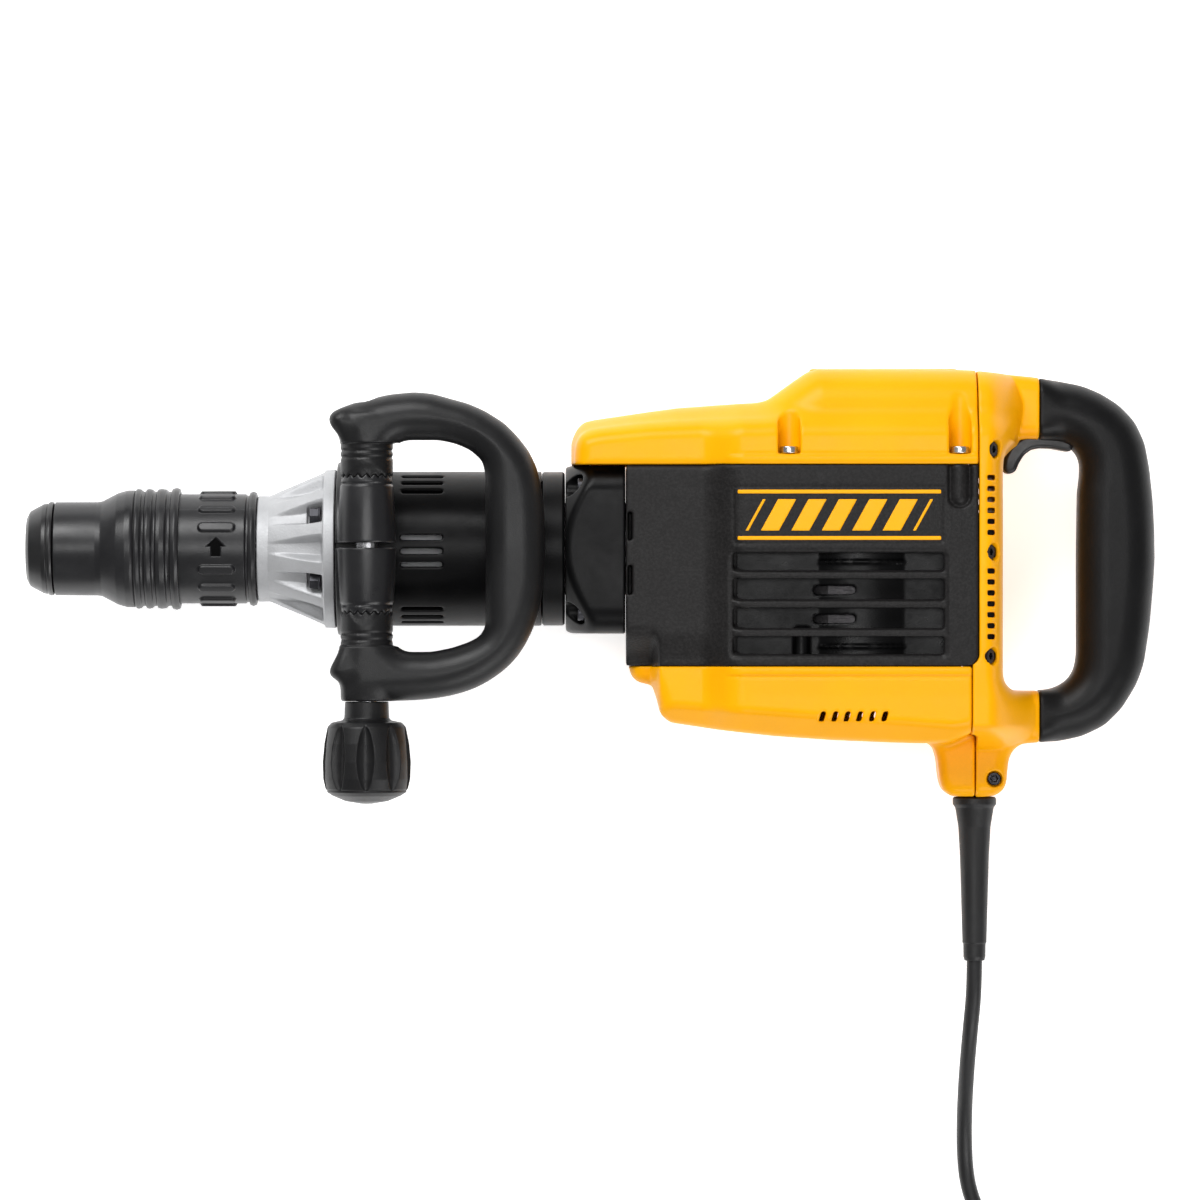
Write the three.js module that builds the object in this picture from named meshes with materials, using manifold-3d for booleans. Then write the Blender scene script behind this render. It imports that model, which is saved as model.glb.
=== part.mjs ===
// Electric demolition hammer with a pivoting loop handle, millimetres, +Z up.
// The tool lies on its right side: +X runs from the nose to the rear grip, +Y is
// the side of the top cover, +Z is the tool's left side. The hammer axis is X.
import * as THREE from 'three';
import { mergeVertices } from 'three/addons/utils/BufferGeometryUtils.js';
import Module from 'manifold-3d';

const wasm = await Module();
wasm.setup();

// ---- driving dimensions -------------------------------------------------
const GAP = 0.3;              // play kept between touching pieces
const FLOOR = -59;            // right side of the motor housing
const EXIT_X = 211.6;         // cord exit
const HALF_MOTOR = 59;        // half width at the motor
const HALF_GEAR = 49;         // half width at the gearbox
const WALL = 4;               // housing wall
const BARREL_R = 42.4;        // barrel tube, outside
const BARREL_BORE = 38.5;
const SEAM_TOP = 45.5;        // height of the top cover seam
const SEAM_BOTTOM = -64.2;    // height of the bottom cover seam
const SEAM_REAR = 212.4;      // front edge of the rear housing
const PIVOT_X = -120.9;       // loop handle pivot, parallel to Y
const PIVOT_Z = 62;
const HUB_R = 13.8;           // loop handle hubs
const EAR_R = 16.4;           // clamp ears
const RING_R = 47.5;          // clamp ring, outside
const CLAMP_BORE = 43.5;       // its facets clear the barrel as it turns
const CRANK_X = 62;           // crank axis, parallel to Y
const THROW = 12;             // crank throw
const ROD = 63;               // connecting rod, centre to centre
const MODULE = 1.75;          // gear module
const Z1 = 10, Z2 = 36, Z3 = 12, Z4 = 40;            // gear teeth
const INTER_X = CRANK_X + (MODULE * (Z3 + Z4)) / 2;  // intermediate shaft
const MOTOR_X = INTER_X + (MODULE * (Z1 + Z2)) / 2;  // motor axis
const CYL_R = 22;             // hammer cylinder bore
const CORD_D = 8.6;           // mains cord
const FACETS = 16;             // sides of a turned piece, a multiple of 4
const COIL_MEAN_R = 48.4;     // coil of spare cord, middle of the turns

// Side outlines, X and Y.
const LOOP = [[-134.1, 39.2], [-134.1, 53.2], [-140.7, 68.7], [-140.7, 70.3], [-120.9, 80.4], [-95.3, 84.6], [-75.5, 80.8], [-56.8, 74.2], [-39.1, 60.3], [-28.7, 44.4], [-24.8, 19.7], [-24.3, -2.9], [-27.0, -36.5], [-31.1, -45.2], [-38.7, -58.1], [-48.4, -67.8], [-62.2, -76.1], [-76.0, -80.2], [-92.7, -82.6], [-133.8, -83.0], [-134.6, -73.4], [-141.3, -68], [-135.2, -55.8], [-134.1, -35.2], [-107.6, -35.2], [-107.1, -50.7], [-100.5, -56.3], [-85.9, -56.3], [-65.0, -50.8], [-56.2, -43.7], [-56.8, 42.2], [-65.0, 53.2], [-81.5, 58.2], [-99.4, 58.5], [-106.6, 53.2], [-107.6, 39.2]];
const BODY = [[-8.5, 46.9], [-7.7, 58.2], [-5.5, 65.6], [-2.8, 68.7], [0.8, 69.5], [32.8, 74.7], [47.4, 76.9], [65.5, 78.2], [91.2, 79.6], [96.7, 80.9], [102.2, 84.8], [111.2, 91.3], [118.4, 96.2], [124.4, 98.2], [201.0, 97.7], [222, 96.4], [222, -97.6], [207.5, -106.5], [181.1, -106.4], [163.5, -105.9], [132.1, -104.6], [100.2, -102.4], [68.8, -98.9], [43.5, -95.1], [38.5, -90.7], [37.1, -84.1], [34.1, -75.0], [25.9, -73.0], [22.6, -69.9], [19.8, -60], [19.8, 30], [-8.5, 30]];
const BOSS = [[186.1, -98], [190.5, -115.2], [191.6, -126.3], [193.3, -132.3], [197.7, -135.9], [212.5, -136.2], [212.1, -103], [212.1, -98]];
const REAR = [[180, 98.6], [227.4, 95.6], [244.7, 93.4], [246.1, 89.6], [246.6, 61.0], [235.7, 59.9], [227.7, 54.3], [226.0, 43.9], [226.0, -71.2], [227.9, -75.0], [232.9, -78.2], [244.5, -78.2], [245.6, -105.9], [235.7, -107.5], [231.5, -111.4], [229.6, -116.3], [228.5, -129.0], [226.6, -132.9], [221.7, -135.9], [180, -136.2]];
const GRIP = [[246.9, 93.4], [256.0, 92.3], [270.3, 89.6], [280.8, 85.3], [291.0, 78.8], [299.5, 69.9], [305.0, 58.2], [307.6, 43.9], [309.4, 26.8], [310.5, -6.2], [309.7, -19.4], [307.8, -41.5], [304.5, -63.3], [300.5, -74.5], [292.4, -87.7], [283.0, -97.1], [270.6, -103.1], [257.5, -105.9], [246.1, -106.4], [245.0, -78.0], [251.1, -77.5], [256.6, -76.1], [262.6, -72.3], [266.2, -66.8], [267.6, -59.1], [267.6, -4.0], [268.1, 30.7], [269.2, 38.9], [269.8, 46.1], [268.7, 50.5], [265.4, 54.9], [247.2, 59.5], [247.0, 89.6]];
const TRIGGER = [[226.8, 43.7], [227.7, 49.9], [230.4, 55.4], [234.6, 59.3], [238.4, 61.9], [251.6, 63.0], [262.0, 63.0], [265.1, 58.6], [265.1, 55.1], [263.2, 53.2], [253.3, 55.4], [247.0, 55.8], [242.3, 54.9], [237.7, 51.6], [234.6, 46.6], [233.5, 42.8], [231.3, 41.1], [228.5, 41.7]];

// ---- solids -------------------------------------------------------------
function solid(geometry) {
  let g = geometry.index ? geometry.toNonIndexed() : geometry.clone();
  g.deleteAttribute('normal');
  g.deleteAttribute('uv');
  g = mergeVertices(g, 1e-4);
  return new wasm.Manifold(new wasm.Mesh({
    numProp: 3,
    vertProperties: new Float32Array(g.attributes.position.array),
    triVerts: new Uint32Array(g.index.array),
  }));
}
function geometryOf(m) {
  const mesh = m.getMesh();
  const g = new THREE.BufferGeometry();
  const n = mesh.numProp;
  const v = mesh.vertProperties;
  const p = new Float32Array((v.length / n) * 3);
  for (let i = 0; i < v.length / n; i++) for (let k = 0; k < 3; k++) p[3 * i + k] = v[n * i + k];
  g.setAttribute('position', new THREE.BufferAttribute(p, 3));
  g.setIndex(new THREE.BufferAttribute(new Uint32Array(mesh.triVerts), 1));
  g.computeVertexNormals();
  return g;
}
const TO_X = new THREE.Matrix4().set(0, 0, 1, 0, 1, 0, 0, 0, 0, 1, 0, 0, 0, 0, 0, 1);  // x,y,z -> Y,Z,X
const TO_Y = new THREE.Matrix4().set(0, 1, 0, 0, 0, 0, 1, 0, 1, 0, 0, 0, 0, 0, 0, 1);  // x,y,z -> Z,X,Y
function shapeOf(points) {
  return new THREE.Shape(points.map(([x, y]) => new THREE.Vector2(x, y)));
}
// An outline moved inwards by d: every side is shifted, and sides that vanish are dropped.
function inwards(points, d) {
  if (!d) return points;
  const ccw = THREE.ShapeUtils.area(points.map(([x, y]) => new THREE.Vector2(x, y))) > 0 ? 1 : -1;
  let sides = points.map((p, i) => {
    const q = points[(i + 1) % points.length];
    const l = Math.hypot(q[0] - p[0], q[1] - p[1]);
    const u = [(q[0] - p[0]) / l, (q[1] - p[1]) / l];
    return { p: [p[0] - u[1] * d * ccw, p[1] + u[0] * d * ccw], u };
  });
  for (;;) {
    const n = sides.length;
    const corner = sides.map((s, i) => {
      const t = sides[(i + n - 1) % n];
      const det = t.u[0] * s.u[1] - t.u[1] * s.u[0];
      if (Math.abs(det) < 1e-3) return s.p.slice();
      const w = ((s.p[0] - t.p[0]) * s.u[1] - (s.p[1] - t.p[1]) * s.u[0]) / det;
      return [t.p[0] + t.u[0] * w, t.p[1] + t.u[1] * w];
    });
    let worst = -1, least = 0.05;
    sides.forEach((s, i) => {
      const a = corner[i], b = corner[(i + 1) % n];
      const along = (b[0] - a[0]) * s.u[0] + (b[1] - a[1]) * s.u[1];
      if (along < least) { least = along; worst = i; }
    });
    if (worst < 0) return corner;
    sides = sides.filter((_, i) => i !== worst);
  }
}
// An outline in XY, extruded between two heights, with stepped edges and an inset.
function slab(points, z0, z1, round = 0, inset = 0) {
  const layer = (d, e) => {
    const g = new THREE.ExtrudeGeometry(shapeOf(inwards(points, inset + d)), { depth: z1 - z0 - 2 * e, steps: 1, bevelEnabled: false });
    g.translate(0, 0, z0 + e);
    return solid(g);
  };
  if (!round) return layer(0, 0);
  return layer(0, 0.8 * round).add(layer(0.5 * round, 0));
}
function box(x0, x1, y0, y1, z0, z1) {
  const g = new THREE.BoxGeometry(x1 - x0, y1 - y0, z1 - z0);
  g.translate((x0 + x1) / 2, (y0 + y1) / 2, (z0 + z1) / 2);
  return solid(g);
}
// A box turned about the hammer axis by an angle measured from +Z towards +Y.
function ringBox(x0, x1, half, r0, r1, degrees) {
  const g = new THREE.BoxGeometry(x1 - x0, 2 * half, r1 - r0);
  g.translate((x0 + x1) / 2, 0, (r0 + r1) / 2);
  g.rotateX((-degrees * Math.PI) / 180);
  return solid(g);
}
function rodX(r, x0, x1, y = 0, z = 0, n = 24, turn = 0) {
  const g = new THREE.CylinderGeometry(r, r, x1 - x0, Math.min(n, FACETS));
  g.rotateY(turn);
  g.rotateZ(Math.PI / 2);
  g.translate((x0 + x1) / 2, y, z);
  return solid(g);
}
function rodY(r, y0, y1, x = 0, z = 0, n = 24, turn = 0) {
  const g = new THREE.CylinderGeometry(r, r, y1 - y0, Math.min(n, FACETS));
  g.rotateY(turn);
  g.translate(x, (y0 + y1) / 2, z);
  return solid(g);
}
function rodZ(r, z0, z1, x = 0, y = 0, n = 24) {
  const g = new THREE.CylinderGeometry(r, r, z1 - z0, Math.min(n, FACETS));
  g.rotateX(Math.PI / 2);
  g.translate(x, y, (z0 + z1) / 2);
  return solid(g);
}
// A turned piece: [position along the axis, radius] points, closed on the axis or on themselves.
function turned(profile, n = 32) {
  const pts = profile.map(([a, r]) => new THREE.Vector2(r, a));
  const onAxis = profile[0][1] === 0 && profile[profile.length - 1][1] === 0;
  if (!onAxis) pts.push(pts[0].clone());
  let area = 0;
  const q = profile;
  for (let i = 0; i < q.length; i++) {
    const [a0, r0] = q[i], [a1, r1] = q[(i + 1) % q.length];
    area += r0 * a1 - r1 * a0;
  }
  if (area < 0) pts.reverse();
  return new THREE.LatheGeometry(pts, Math.min(n, FACETS));
}
function turnedX(profile, n = 32) {
  const g = turned(profile, n);
  g.rotateZ(-Math.PI / 2);
  return solid(g);
}
function turnedY(profile, x, z, n = 32) {
  const g = turned(profile, n);
  g.translate(x, 0, z);
  return solid(g);
}
const tubeX = (r0, r1, x0, x1, n = 32) => turnedX([[x0, r0], [x0, r1], [x1, r1], [x1, r0]], n);
const tubeY = (r0, r1, y0, y1, x, z, n = 32) => turnedY([[y0, r0], [y0, r1], [y1, r1], [y1, r0]], x, z, n);
const join = (...list) => list.reduce((a, b) => a.add(b));
const cut = (a, ...list) => list.reduce((s, b) => s.subtract(b), a);

const group = new THREE.Group();
const FINISH = {
  yellow: [0xf6b400, 0.35, 0], black: [0x2a2a2c, 0.6, 0], grip: [0x1c1c1e, 0.7, 0],
  sleeve: [0x202022, 0.45, 0], rubber: [0x161616, 0.85, 0], aluminium: [0xb9bbbd, 0.45, 0.9],
  steel: [0x8d9094, 0.35, 1], zinc: [0xc8cace, 0.3, 1], dark_steel: [0x3a3c40, 0.5, 0.8],
  copper: [0xa9673a, 0.4, 0.9], laminate: [0x5b5e62, 0.55, 0.7], switch: [0x303236, 0.5, 0],
};
function node(name, m, finish) {
  const [color, roughness, metalness] = FINISH[finish];
  const mesh = new THREE.Mesh(geometryOf(m), new THREE.MeshStandardMaterial({ color, roughness, metalness }));
  mesh.name = name;
  group.add(mesh);
}

// ---- nose: dust cap, lock sleeve, indexing collar, tool holder ----------
node('dust_cap', turnedX([
  [-309.5, 10.2], [-309.5, 18], [-307.5, 21.2], [-298.6, 24.9], [-297.8, 25.6], [-295.8, 25.6], [-295.1, 24.8],
  [-294.6, 20.6], [-286, 20.6], [-286, 18.3], [-293.4, 18.3], [-293.4, 10.2],
], 36), 'rubber');
node('tool_holder', cut(turnedX([
  [-293.1, 9.2], [-293.1, 17.9], [-248, 17.9], [-247, 20.4], [-243, 20.4], [-243, 24.1], [-150, 24.1], [-150, 13.4], [-206, 13.4], [-206, 9.2],
], 32), box(-272, -256, -4.3, 4.3, 9.8, 20), box(-272, -256, -4.3, 4.3, -20, -9.8),
box(-206, -196, -3, 3, 8.7, 13.6)), 'steel');
for (const [name, s] of [['locking_roller_1', 1], ['locking_roller_2', -1]])
  node(name, rodX(3.6, -271, -257, 0, s * 14, 14), 'steel');
node('lock_sleeve', turnedX([
  [-294.2, 21.4], [-294.2, 25.6], [-271.5, 25.6], [-266, 26.6], [-259, 31.0], [-254.9, 32.3],
  [-251.8, 31.7], [-249.4, 33.0], [-246.4, 33.0], [-245, 31.8], [-243.6, 33.0], [-240.2, 33.0], [-238.6, 31.8],
  [-237.4, 33.0], [-232.4, 33.0], [-231, 31.9], [-229.8, 33.6], [-225.2, 33.6],
  [-225.2, 30.9], [-241.8, 30.9], [-241.8, 26], [-262, 26], [-262, 21.4],
], 36), 'sleeve');
{ // spring between the sleeve and the holder's shoulder
  class Helix extends THREE.Curve {
    getPoint(t, out = new THREE.Vector3()) {
      const a = t * 2 * Math.PI * 4;
      return out.set(-259 + 10 * t, 19.9 * Math.cos(a), 19.9 * Math.sin(a));
    }
  }
  const c = new THREE.Shape();
  for (let i = 0; i < 5; i++) c[i ? 'lineTo' : 'moveTo'](0.8 * Math.cos((i * Math.PI) / 2.5), 0.8 * Math.sin((i * Math.PI) / 2.5));
  node('sleeve_spring', solid(new THREE.ExtrudeGeometry(c, { steps: 40, extrudePath: new Helix(), bevelEnabled: false })), 'steel');
}
{
  let collar = turnedX([
    [-233.2, 24.5], [-233.2, 30.2], [-188, 30.2], [-187.2, 29.3], [-186.4, 31.0], [-185.2, 31.3], [-183.6, 31.3], [-182.8, 30.5], [-182.8, 24.5],
  ], 36);
  for (let i = 1; i < 16; i++) collar = collar.add(ringBox(-216.4, -195.4, 2.6, 28, 31.7, i * 22.5));
  collar = cut(collar, slab([[-211.8, 1.4], [-200.4, 1.4], [-206.1, 7]], 29.2, 34), slab([[-209, -4.2], [-203.4, -4.2], [-203.4, 1.6], [-209, 1.6]], 29.2, 34));
  node('indexing_collar', collar, 'sleeve');
}
// ---- nose housing -------------------------------------------------------
{
  let h = turnedX([
    [-182.4, 24.8], [-182.4, 28.4], [-181.6, 29.0], [-175.6, 29.0], [-145.4, 42.6], [-145.4, 43.6], [-139.4, 43.6],
    [-139.4, 28], [-160, 28], [-160, 24.8],
  ], 40);
  const screws = [30, 150, 210, 330], R_SCREW = 35.4;
  for (let a = 0; a < 360; a += 30) h = h.subtract(screws.includes(a) ? ringBox(-157, -145.6, 5.6, 30.2, 46, a) : ringBox(-171, -146.5, 3.2, 36.5, 50, a));
  node('nose_housing', h, 'aluminium');
  for (let i = 0; i < 4; i++) {
    const a = (screws[i] * Math.PI) / 180;
    node(`nose_screw_${i + 1}`, join(
      rodX(4.6, -153.4, -147, R_SCREW * Math.sin(a), R_SCREW * Math.cos(a), 6),
      rodX(2.2, -147.2, -145.9, R_SCREW * Math.sin(a), R_SCREW * Math.cos(a), 12)), 'zinc');
  }
}
// ---- hammer mechanism ---------------------------------------------------
node('beat_piece', turnedX([[-198, 0], [-198, 8], [-196, 8.6], [-190, 8.6], [-188, 13], [-119, 13], [-117, 11.5], [-117, 0]], 24), 'steel');
node('cylinder', join(tubeX(CYL_R, 25.3, -130, 24, 36), tubeX(25, 38.1, -130, -124, 36), tubeX(25, 38.1, -40, -34, 36)), 'steel');
node('ram', turnedX([[-100, 0], [-100, 9], [-92, 10], [-90, CYL_R - GAP], [-60, CYL_R - GAP], [-60, 0]], 32), 'steel');
node('piston', turnedX([[-30, 0], [-30, CYL_R - GAP], [20, CYL_R - GAP], [20, 19], [-22, 19], [-22, 0]], 32), 'aluminium');
{
  const pin = CRANK_X + THROW;
  const eye = rodY(11, -6, 6, pin, 0, 24);
  const small = join(rodY(5.3, -5, 5, pin - ROD, 0, 16), rodY(3.4, -8.5, 8.5, pin - ROD, 0, 12));
  node('connecting_rod', cut(join(eye, small, box(pin - ROD + 2, pin - 8, -4, 4, -5, 5)), rodY(6.1, -8, 8, pin, 0, 24)), 'aluminium');
}
// Involute-like gear outline: tooth flanks thinned for backlash.
function gearShape(z, toothAt, thin = 0.34) {
  const r = (MODULE * z) / 2, tip = r + 0.9 * MODULE, root = r - 1.15 * MODULE;
  const press = (20 * Math.PI) / 180, base = r * Math.cos(press);
  const inv = (rr) => { const a = Math.acos(Math.min(1, base / rr)); return Math.tan(a) - a; };
  const half = Math.PI / (2 * z) - thin / (2 * r);
  const at = (rr) => Math.max(0.15 / rr, half + inv(r) - inv(Math.max(rr, base)));
  const radii = [root, tip];
  const pts = [];
  for (let i = 0; i < z; i++) {
    const c = toothAt + (i * 2 * Math.PI) / z;
    for (const rr of radii) pts.push([rr, c - at(rr)]);
    for (const rr of radii.slice().reverse()) pts.push([rr, c + at(rr)]);
  }
  return pts.map(([rr, a]) => [rr * Math.cos(a), rr * Math.sin(a)]);
}
// Gear about a vertical-in-housing axis (parallel to Y); toothAt is measured from +Z towards +X.
function gear(z, toothAt, y0, y1, x) {
  const g = new THREE.ExtrudeGeometry(shapeOf(gearShape(z, toothAt)), { depth: y1 - y0, bevelEnabled: false });
  g.applyMatrix4(TO_Y);
  g.translate(x, y0, 0);
  return solid(g);
}
// Facing +X is pi/2 here, facing -X is -pi/2. Each pair meets with a tooth in a space.
const TOWARDS_REAR = Math.PI / 2, TOWARDS_NOSE = -Math.PI / 2;
node('crank_gear', join(
  gear(Z4, TOWARDS_REAR, 28, 38, CRANK_X),
  rodY(8, 37.5, 45, CRANK_X, 0, 20),
  rodY(11, 24, 28.5, CRANK_X + THROW, 0, 20),
  rodY(5.8, -8, 24.5, CRANK_X + THROW, 0, 20)), 'dark_steel');
node('intermediate_gear', join(
  gear(Z2, TOWARDS_REAR, 50, 60, INTER_X),
  gear(Z3, TOWARDS_NOSE + Math.PI / Z3, 28, 38.5, INTER_X),
  rodY(6, 38, 50.5, INTER_X, 0, 18), rodY(5, 59.5, 66, INTER_X, 0, 18)), 'dark_steel');
// ---- motor --------------------------------------------------------------
node('armature', join(
  rodY(5, -86, 51, MOTOR_X, 0, 18),
  gear(Z1, TOWARDS_NOSE + Math.PI / Z1, 50, 62, MOTOR_X),
  rodY(28, -42, 5, MOTOR_X, 0, 32),
  rodY(13, -66, -50, MOTOR_X, 0, 24)), 'laminate');
{
  let fan = join(tubeY(5.3, 9, 11, 25, MOTOR_X, 0, 20), tubeY(8.5, 38, 11, 13, MOTOR_X, 0, 32));
  for (let i = 0; i < 9; i++) {
    const g = new THREE.BoxGeometry(29.5, 11, 1.8);
    g.translate(22.6, 18.5, 0);
    g.rotateY((i * 2 * Math.PI) / 9);
    g.translate(MOTOR_X, 0, 0);
    fan = fan.add(solid(g));
  }
  node('cooling_fan', fan, 'black');
}
node('stator', cut(tubeY(29, 47, -45, 8, MOTOR_X, 0, 36), box(MOTOR_X - 60, MOTOR_X - 43, -50, 20, -60, 60), box(MOTOR_X + 43, MOTOR_X + 60, -50, 20, -60, 60)), 'laminate');
for (const [name, s] of [['brush_1', 1], ['brush_2', -1]])
  node(name, s > 0 ? box(MOTOR_X - 5, MOTOR_X + 5, -64, -53, 13.4, 34) : box(MOTOR_X - 5, MOTOR_X + 5, -64, -53, -34, -13.4), 'copper');
node('bearing_top', tubeY(5.3, 13, 38, 46, MOTOR_X, 0, 24), 'steel');
node('bearing_bottom', tubeY(5.3, 13, -82, -73, MOTOR_X, 0, 24), 'steel');

// ---- barrel and gearcase front -----------------------------------------
{
  let tube = tubeX(BARREL_BORE, BARREL_R, -139.1, -26.6, 40);
  for (const k of [0, 1, 2, 3, 4, 5]) tube = tube.subtract(ringBox(-104.5, -81, 1.2, 36, 46, 60 * k + 1));
  node('barrel_sleeve', tube, 'sleeve');
  node('barrel_collar', turnedX([[-26.3, BARREL_BORE], [-26.3, 41.2], [-25.4, 42.2], [-14.6, 42.2], [-13.8, 41.4], [-13.8, BARREL_BORE]], 40), 'sleeve');
}
{
  // square body with rounded corners, coned at the front
  const corner = (h, r) => {
    const p = [];
    for (const [cy, cz, a0] of [[1, 1, 0], [-1, 1, 1], [-1, -1, 2], [1, -1, 3]])
      for (let i = 0; i <= 4; i++) {
        const a = ((a0 + i / 4) * Math.PI) / 2;
        p.push([cy * (h - r) + r * Math.cos(a), cz * (h - r) + r * Math.sin(a)]);
      }
    return p;
  };
  const g = new THREE.ExtrudeGeometry(shapeOf(corner(46, 15)), { depth: 32.6, bevelEnabled: false });
  g.applyMatrix4(TO_X);
  g.translate(-13.4, -0.6, 0);
  const cone = turnedX([[-13.4, 0], [-13.4, 45.4], [1, 60], [25, 75], [25, 0]], 40);
  let front = cut(solid(g).intersect(cone), rodX(26, -14, 20, 0, 0, 36), box(-9, 20, 45.2, 60, -60, 60));
  for (const [y, z] of [[1, 1], [-1, 1], [1, -1], [-1, -1]]) front = front.subtract(rodX(5.2, -20, -0.5, y * 34.5 - 0.6, z * 34.5, 16));
  node('gearcase_front', front, 'black');
  let n = 1;
  for (const [y, z] of [[1, 1], [-1, 1], [1, -1], [-1, -1]])
    node(`gearcase_screw_${n++}`, rodX(4.4, -6.5, -0.8, y * 34.5 - 0.6, z * 34.5, 12), 'zinc');
}
// ---- housings -----------------------------------------------------------
{
  const plan = slabPlan([[66, 0], [66, HALF_GEAR - 2], [77, HALF_MOTOR + 1], [230, HALF_MOTOR + 1], [230, 0]]);
  const planIn = slabPlan([[73, 0], [73, HALF_GEAR - WALL - 2], [84, HALF_MOTOR - WALL + 1], [240, HALF_MOTOR], [240, 0]]);
  const cavity = (d) => slab(BODY, -HALF_GEAR + WALL + 2, HALF_GEAR - WALL - 2, 0, d)
    .add(slab(BODY, -HALF_MOTOR + WALL + 2, HALF_MOTOR - WALL - 2, 0, d).intersect(planIn)).add(box(205, 240, -95, 88, -40, 40));
  const boreIn = rodX(26, 15, 40, 0, 0, 36);
  const outerFlat = slab(BODY, -HALF_GEAR, HALF_GEAR).add(slab(BODY, -HALF_MOTOR, HALF_MOTOR).intersect(plan));
  const outerRound = slab(BODY, -HALF_GEAR, HALF_GEAR, 10).add(slab(BODY, -HALF_MOTOR, HALF_MOTOR, 13).intersect(plan));
  const shellMotor = cut(outerFlat, cavity(WALL), boreIn);
  const shell = cut(outerRound, cavity(9), boreIn);
  // black motor housing between the two seams
  let motor = shellMotor.intersect(box(19.8, SEAM_REAR, SEAM_BOTTOM + GAP / 2, SEAM_TOP - GAP / 2, -70, 70));
  for (const s of [1, -1]) {
    const z0 = s > 0 ? 50 : -65, z1 = s > 0 ? 65 : -50;
    for (const [y0, y1] of [[-13, -2.7], [-28.8, -16.7], [-44.4, -32.7], [-58.5, -48.3]]) motor = motor.subtract(box(79.5, 195, y0, y1, z0, z1));
    motor = cut(motor, box(20.6, 22.6, 4.2, 20, s > 0 ? 44 : -52, s > 0 ? 52 : -44), box(20.6, 22.6, -25.5, -9, s > 0 ? 44 : -52, s > 0 ? 52 : -44));
  }
  node('motor_housing', motor, 'black');
  let top = shell.intersect(box(-20, SEAM_REAR, SEAM_TOP + GAP / 2, 110, -70, 70));
  let bottom = join(shell, slab(BOSS, -19, 19, 4)).intersect(box(10, 212.1, -140, SEAM_BOTTOM - GAP / 2, -70, 70));
  bottom = cut(bottom, box(196, 214, -132, -90, -13, 13), rodY(7.4, -140, -100, EXIT_X, 0, 16));
  const screwAt = [[109.4, 1], [203.4, 1], [109.4, -1], [203.4, -1]];
  screwAt.forEach(([x, s], i) => {
    const z = s * 53.5;
    top = top.subtract(rodY(5.6, 53.4, 100, x, z, 14));
    node(`cover_screw_${i + 1}`, rodY(4.9, 53.8, 57.4, x, z, 12), 'zinc');
  });
  node('top_cover', top, 'yellow');
  node('bottom_cover', bottom, 'yellow');
}
function slabPlan(half) { // outline given as X and half width, mirrored, extruded along Y
  const pts = half.map(([x, z]) => [z, x]).concat(half.slice().reverse().filter(([, z]) => z !== 0).map(([x, z]) => [-z, x]));
  const clean = pts.filter(([z], i) => z !== 0);
  const g = new THREE.ExtrudeGeometry(shapeOf(THREE.ShapeUtils.isClockWise(clean.map(([a, b]) => new THREE.Vector2(a, b))) ? clean.reverse() : clean), { depth: 260, bevelEnabled: false });
  g.applyMatrix4(TO_Y);
  g.translate(0, -140, 0);
  return solid(g);
}
// ---- rear housing and grip, two halves each ------------------------------
const rearScrews = [[221.6, 54], [219.4, -2], [219, -59]];
for (const [side, s] of [['left', 1], ['right', -1]]) {
  const halfBox = s > 0 ? box(200, 330, -150, 110, 0.15, 70) : box(200, 330, -150, 110, -70, -0.15);
  let block = slab(REAR, -HALF_MOTOR, HALF_MOTOR, 13).intersect(box(212.7, 226, -107, 110, -70, 70));
  block = block.add(slab(REAR, -44, 44, 10).intersect(box(212.7, 232, -107, 110, -70, 70)));
  const arms = slab(REAR, -21, 21, 8).intersect(box(212.7, 260, -140, 110, -70, 70));
  let rear = cut(join(block, arms),
    slab(REAR, -54, 54, 0, 4).intersect(box(200, 222, -98, 88, -70, 70)), box(205, 222, -96, 88, -38, 38),
    box(218, 250, 70, 88.5, -15, 15), box(218, 250, -99, -84, -15, 15), box(200, 222, -118, -90, -13, 13),
    rodY(7.4, -140, -100, EXIT_X, 0, 16),
    box(224, 250, 38, 72, -10.3, 10.3));
  for (const [x, y] of rearScrews) rear = cut(rear, rodZ(4.6, 47, 70, x, y, 12), rodZ(4.6, -70, -47, x, y, 12));
  rear = rear.subtract(rodZ(4.2, 14.5, 30, 221.6, -126.2, 14));
  rear = rear.intersect(halfBox);
  node(`rear_housing_${side}`, rear, 'yellow');
  let grip = cut(slab(GRIP, -21, 21, 8), slab(GRIP, -15, 15, 0, 6),
    box(240, 256, 70, 88, -15, 15), box(240, 256, -99, -84, -15, 15), box(240, 266.6, 38, 72, -10.3, 10.3));
  node(`rear_grip_${side}`, grip.intersect(halfBox), 'grip');
}
rearScrews.forEach(([x, y], i) => node(`rear_screw_${i + 1}`, rodZ(4.0, 47.3, 51, x, y, 12), 'dark_steel'));
node('boss_screw', rodZ(3.6, 14.8, 17.6, 221.6, -126.2, 12), 'dark_steel');
node('trigger', slab(TRIGGER, -9.6, 9.6, 1.6), 'black');
node('switch_unit', box(228, 255, 74, 86.5, -11, 11), 'switch');
node('control_module', box(214.5, 221.5, -60, 20, -30, 30), 'switch');

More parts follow.
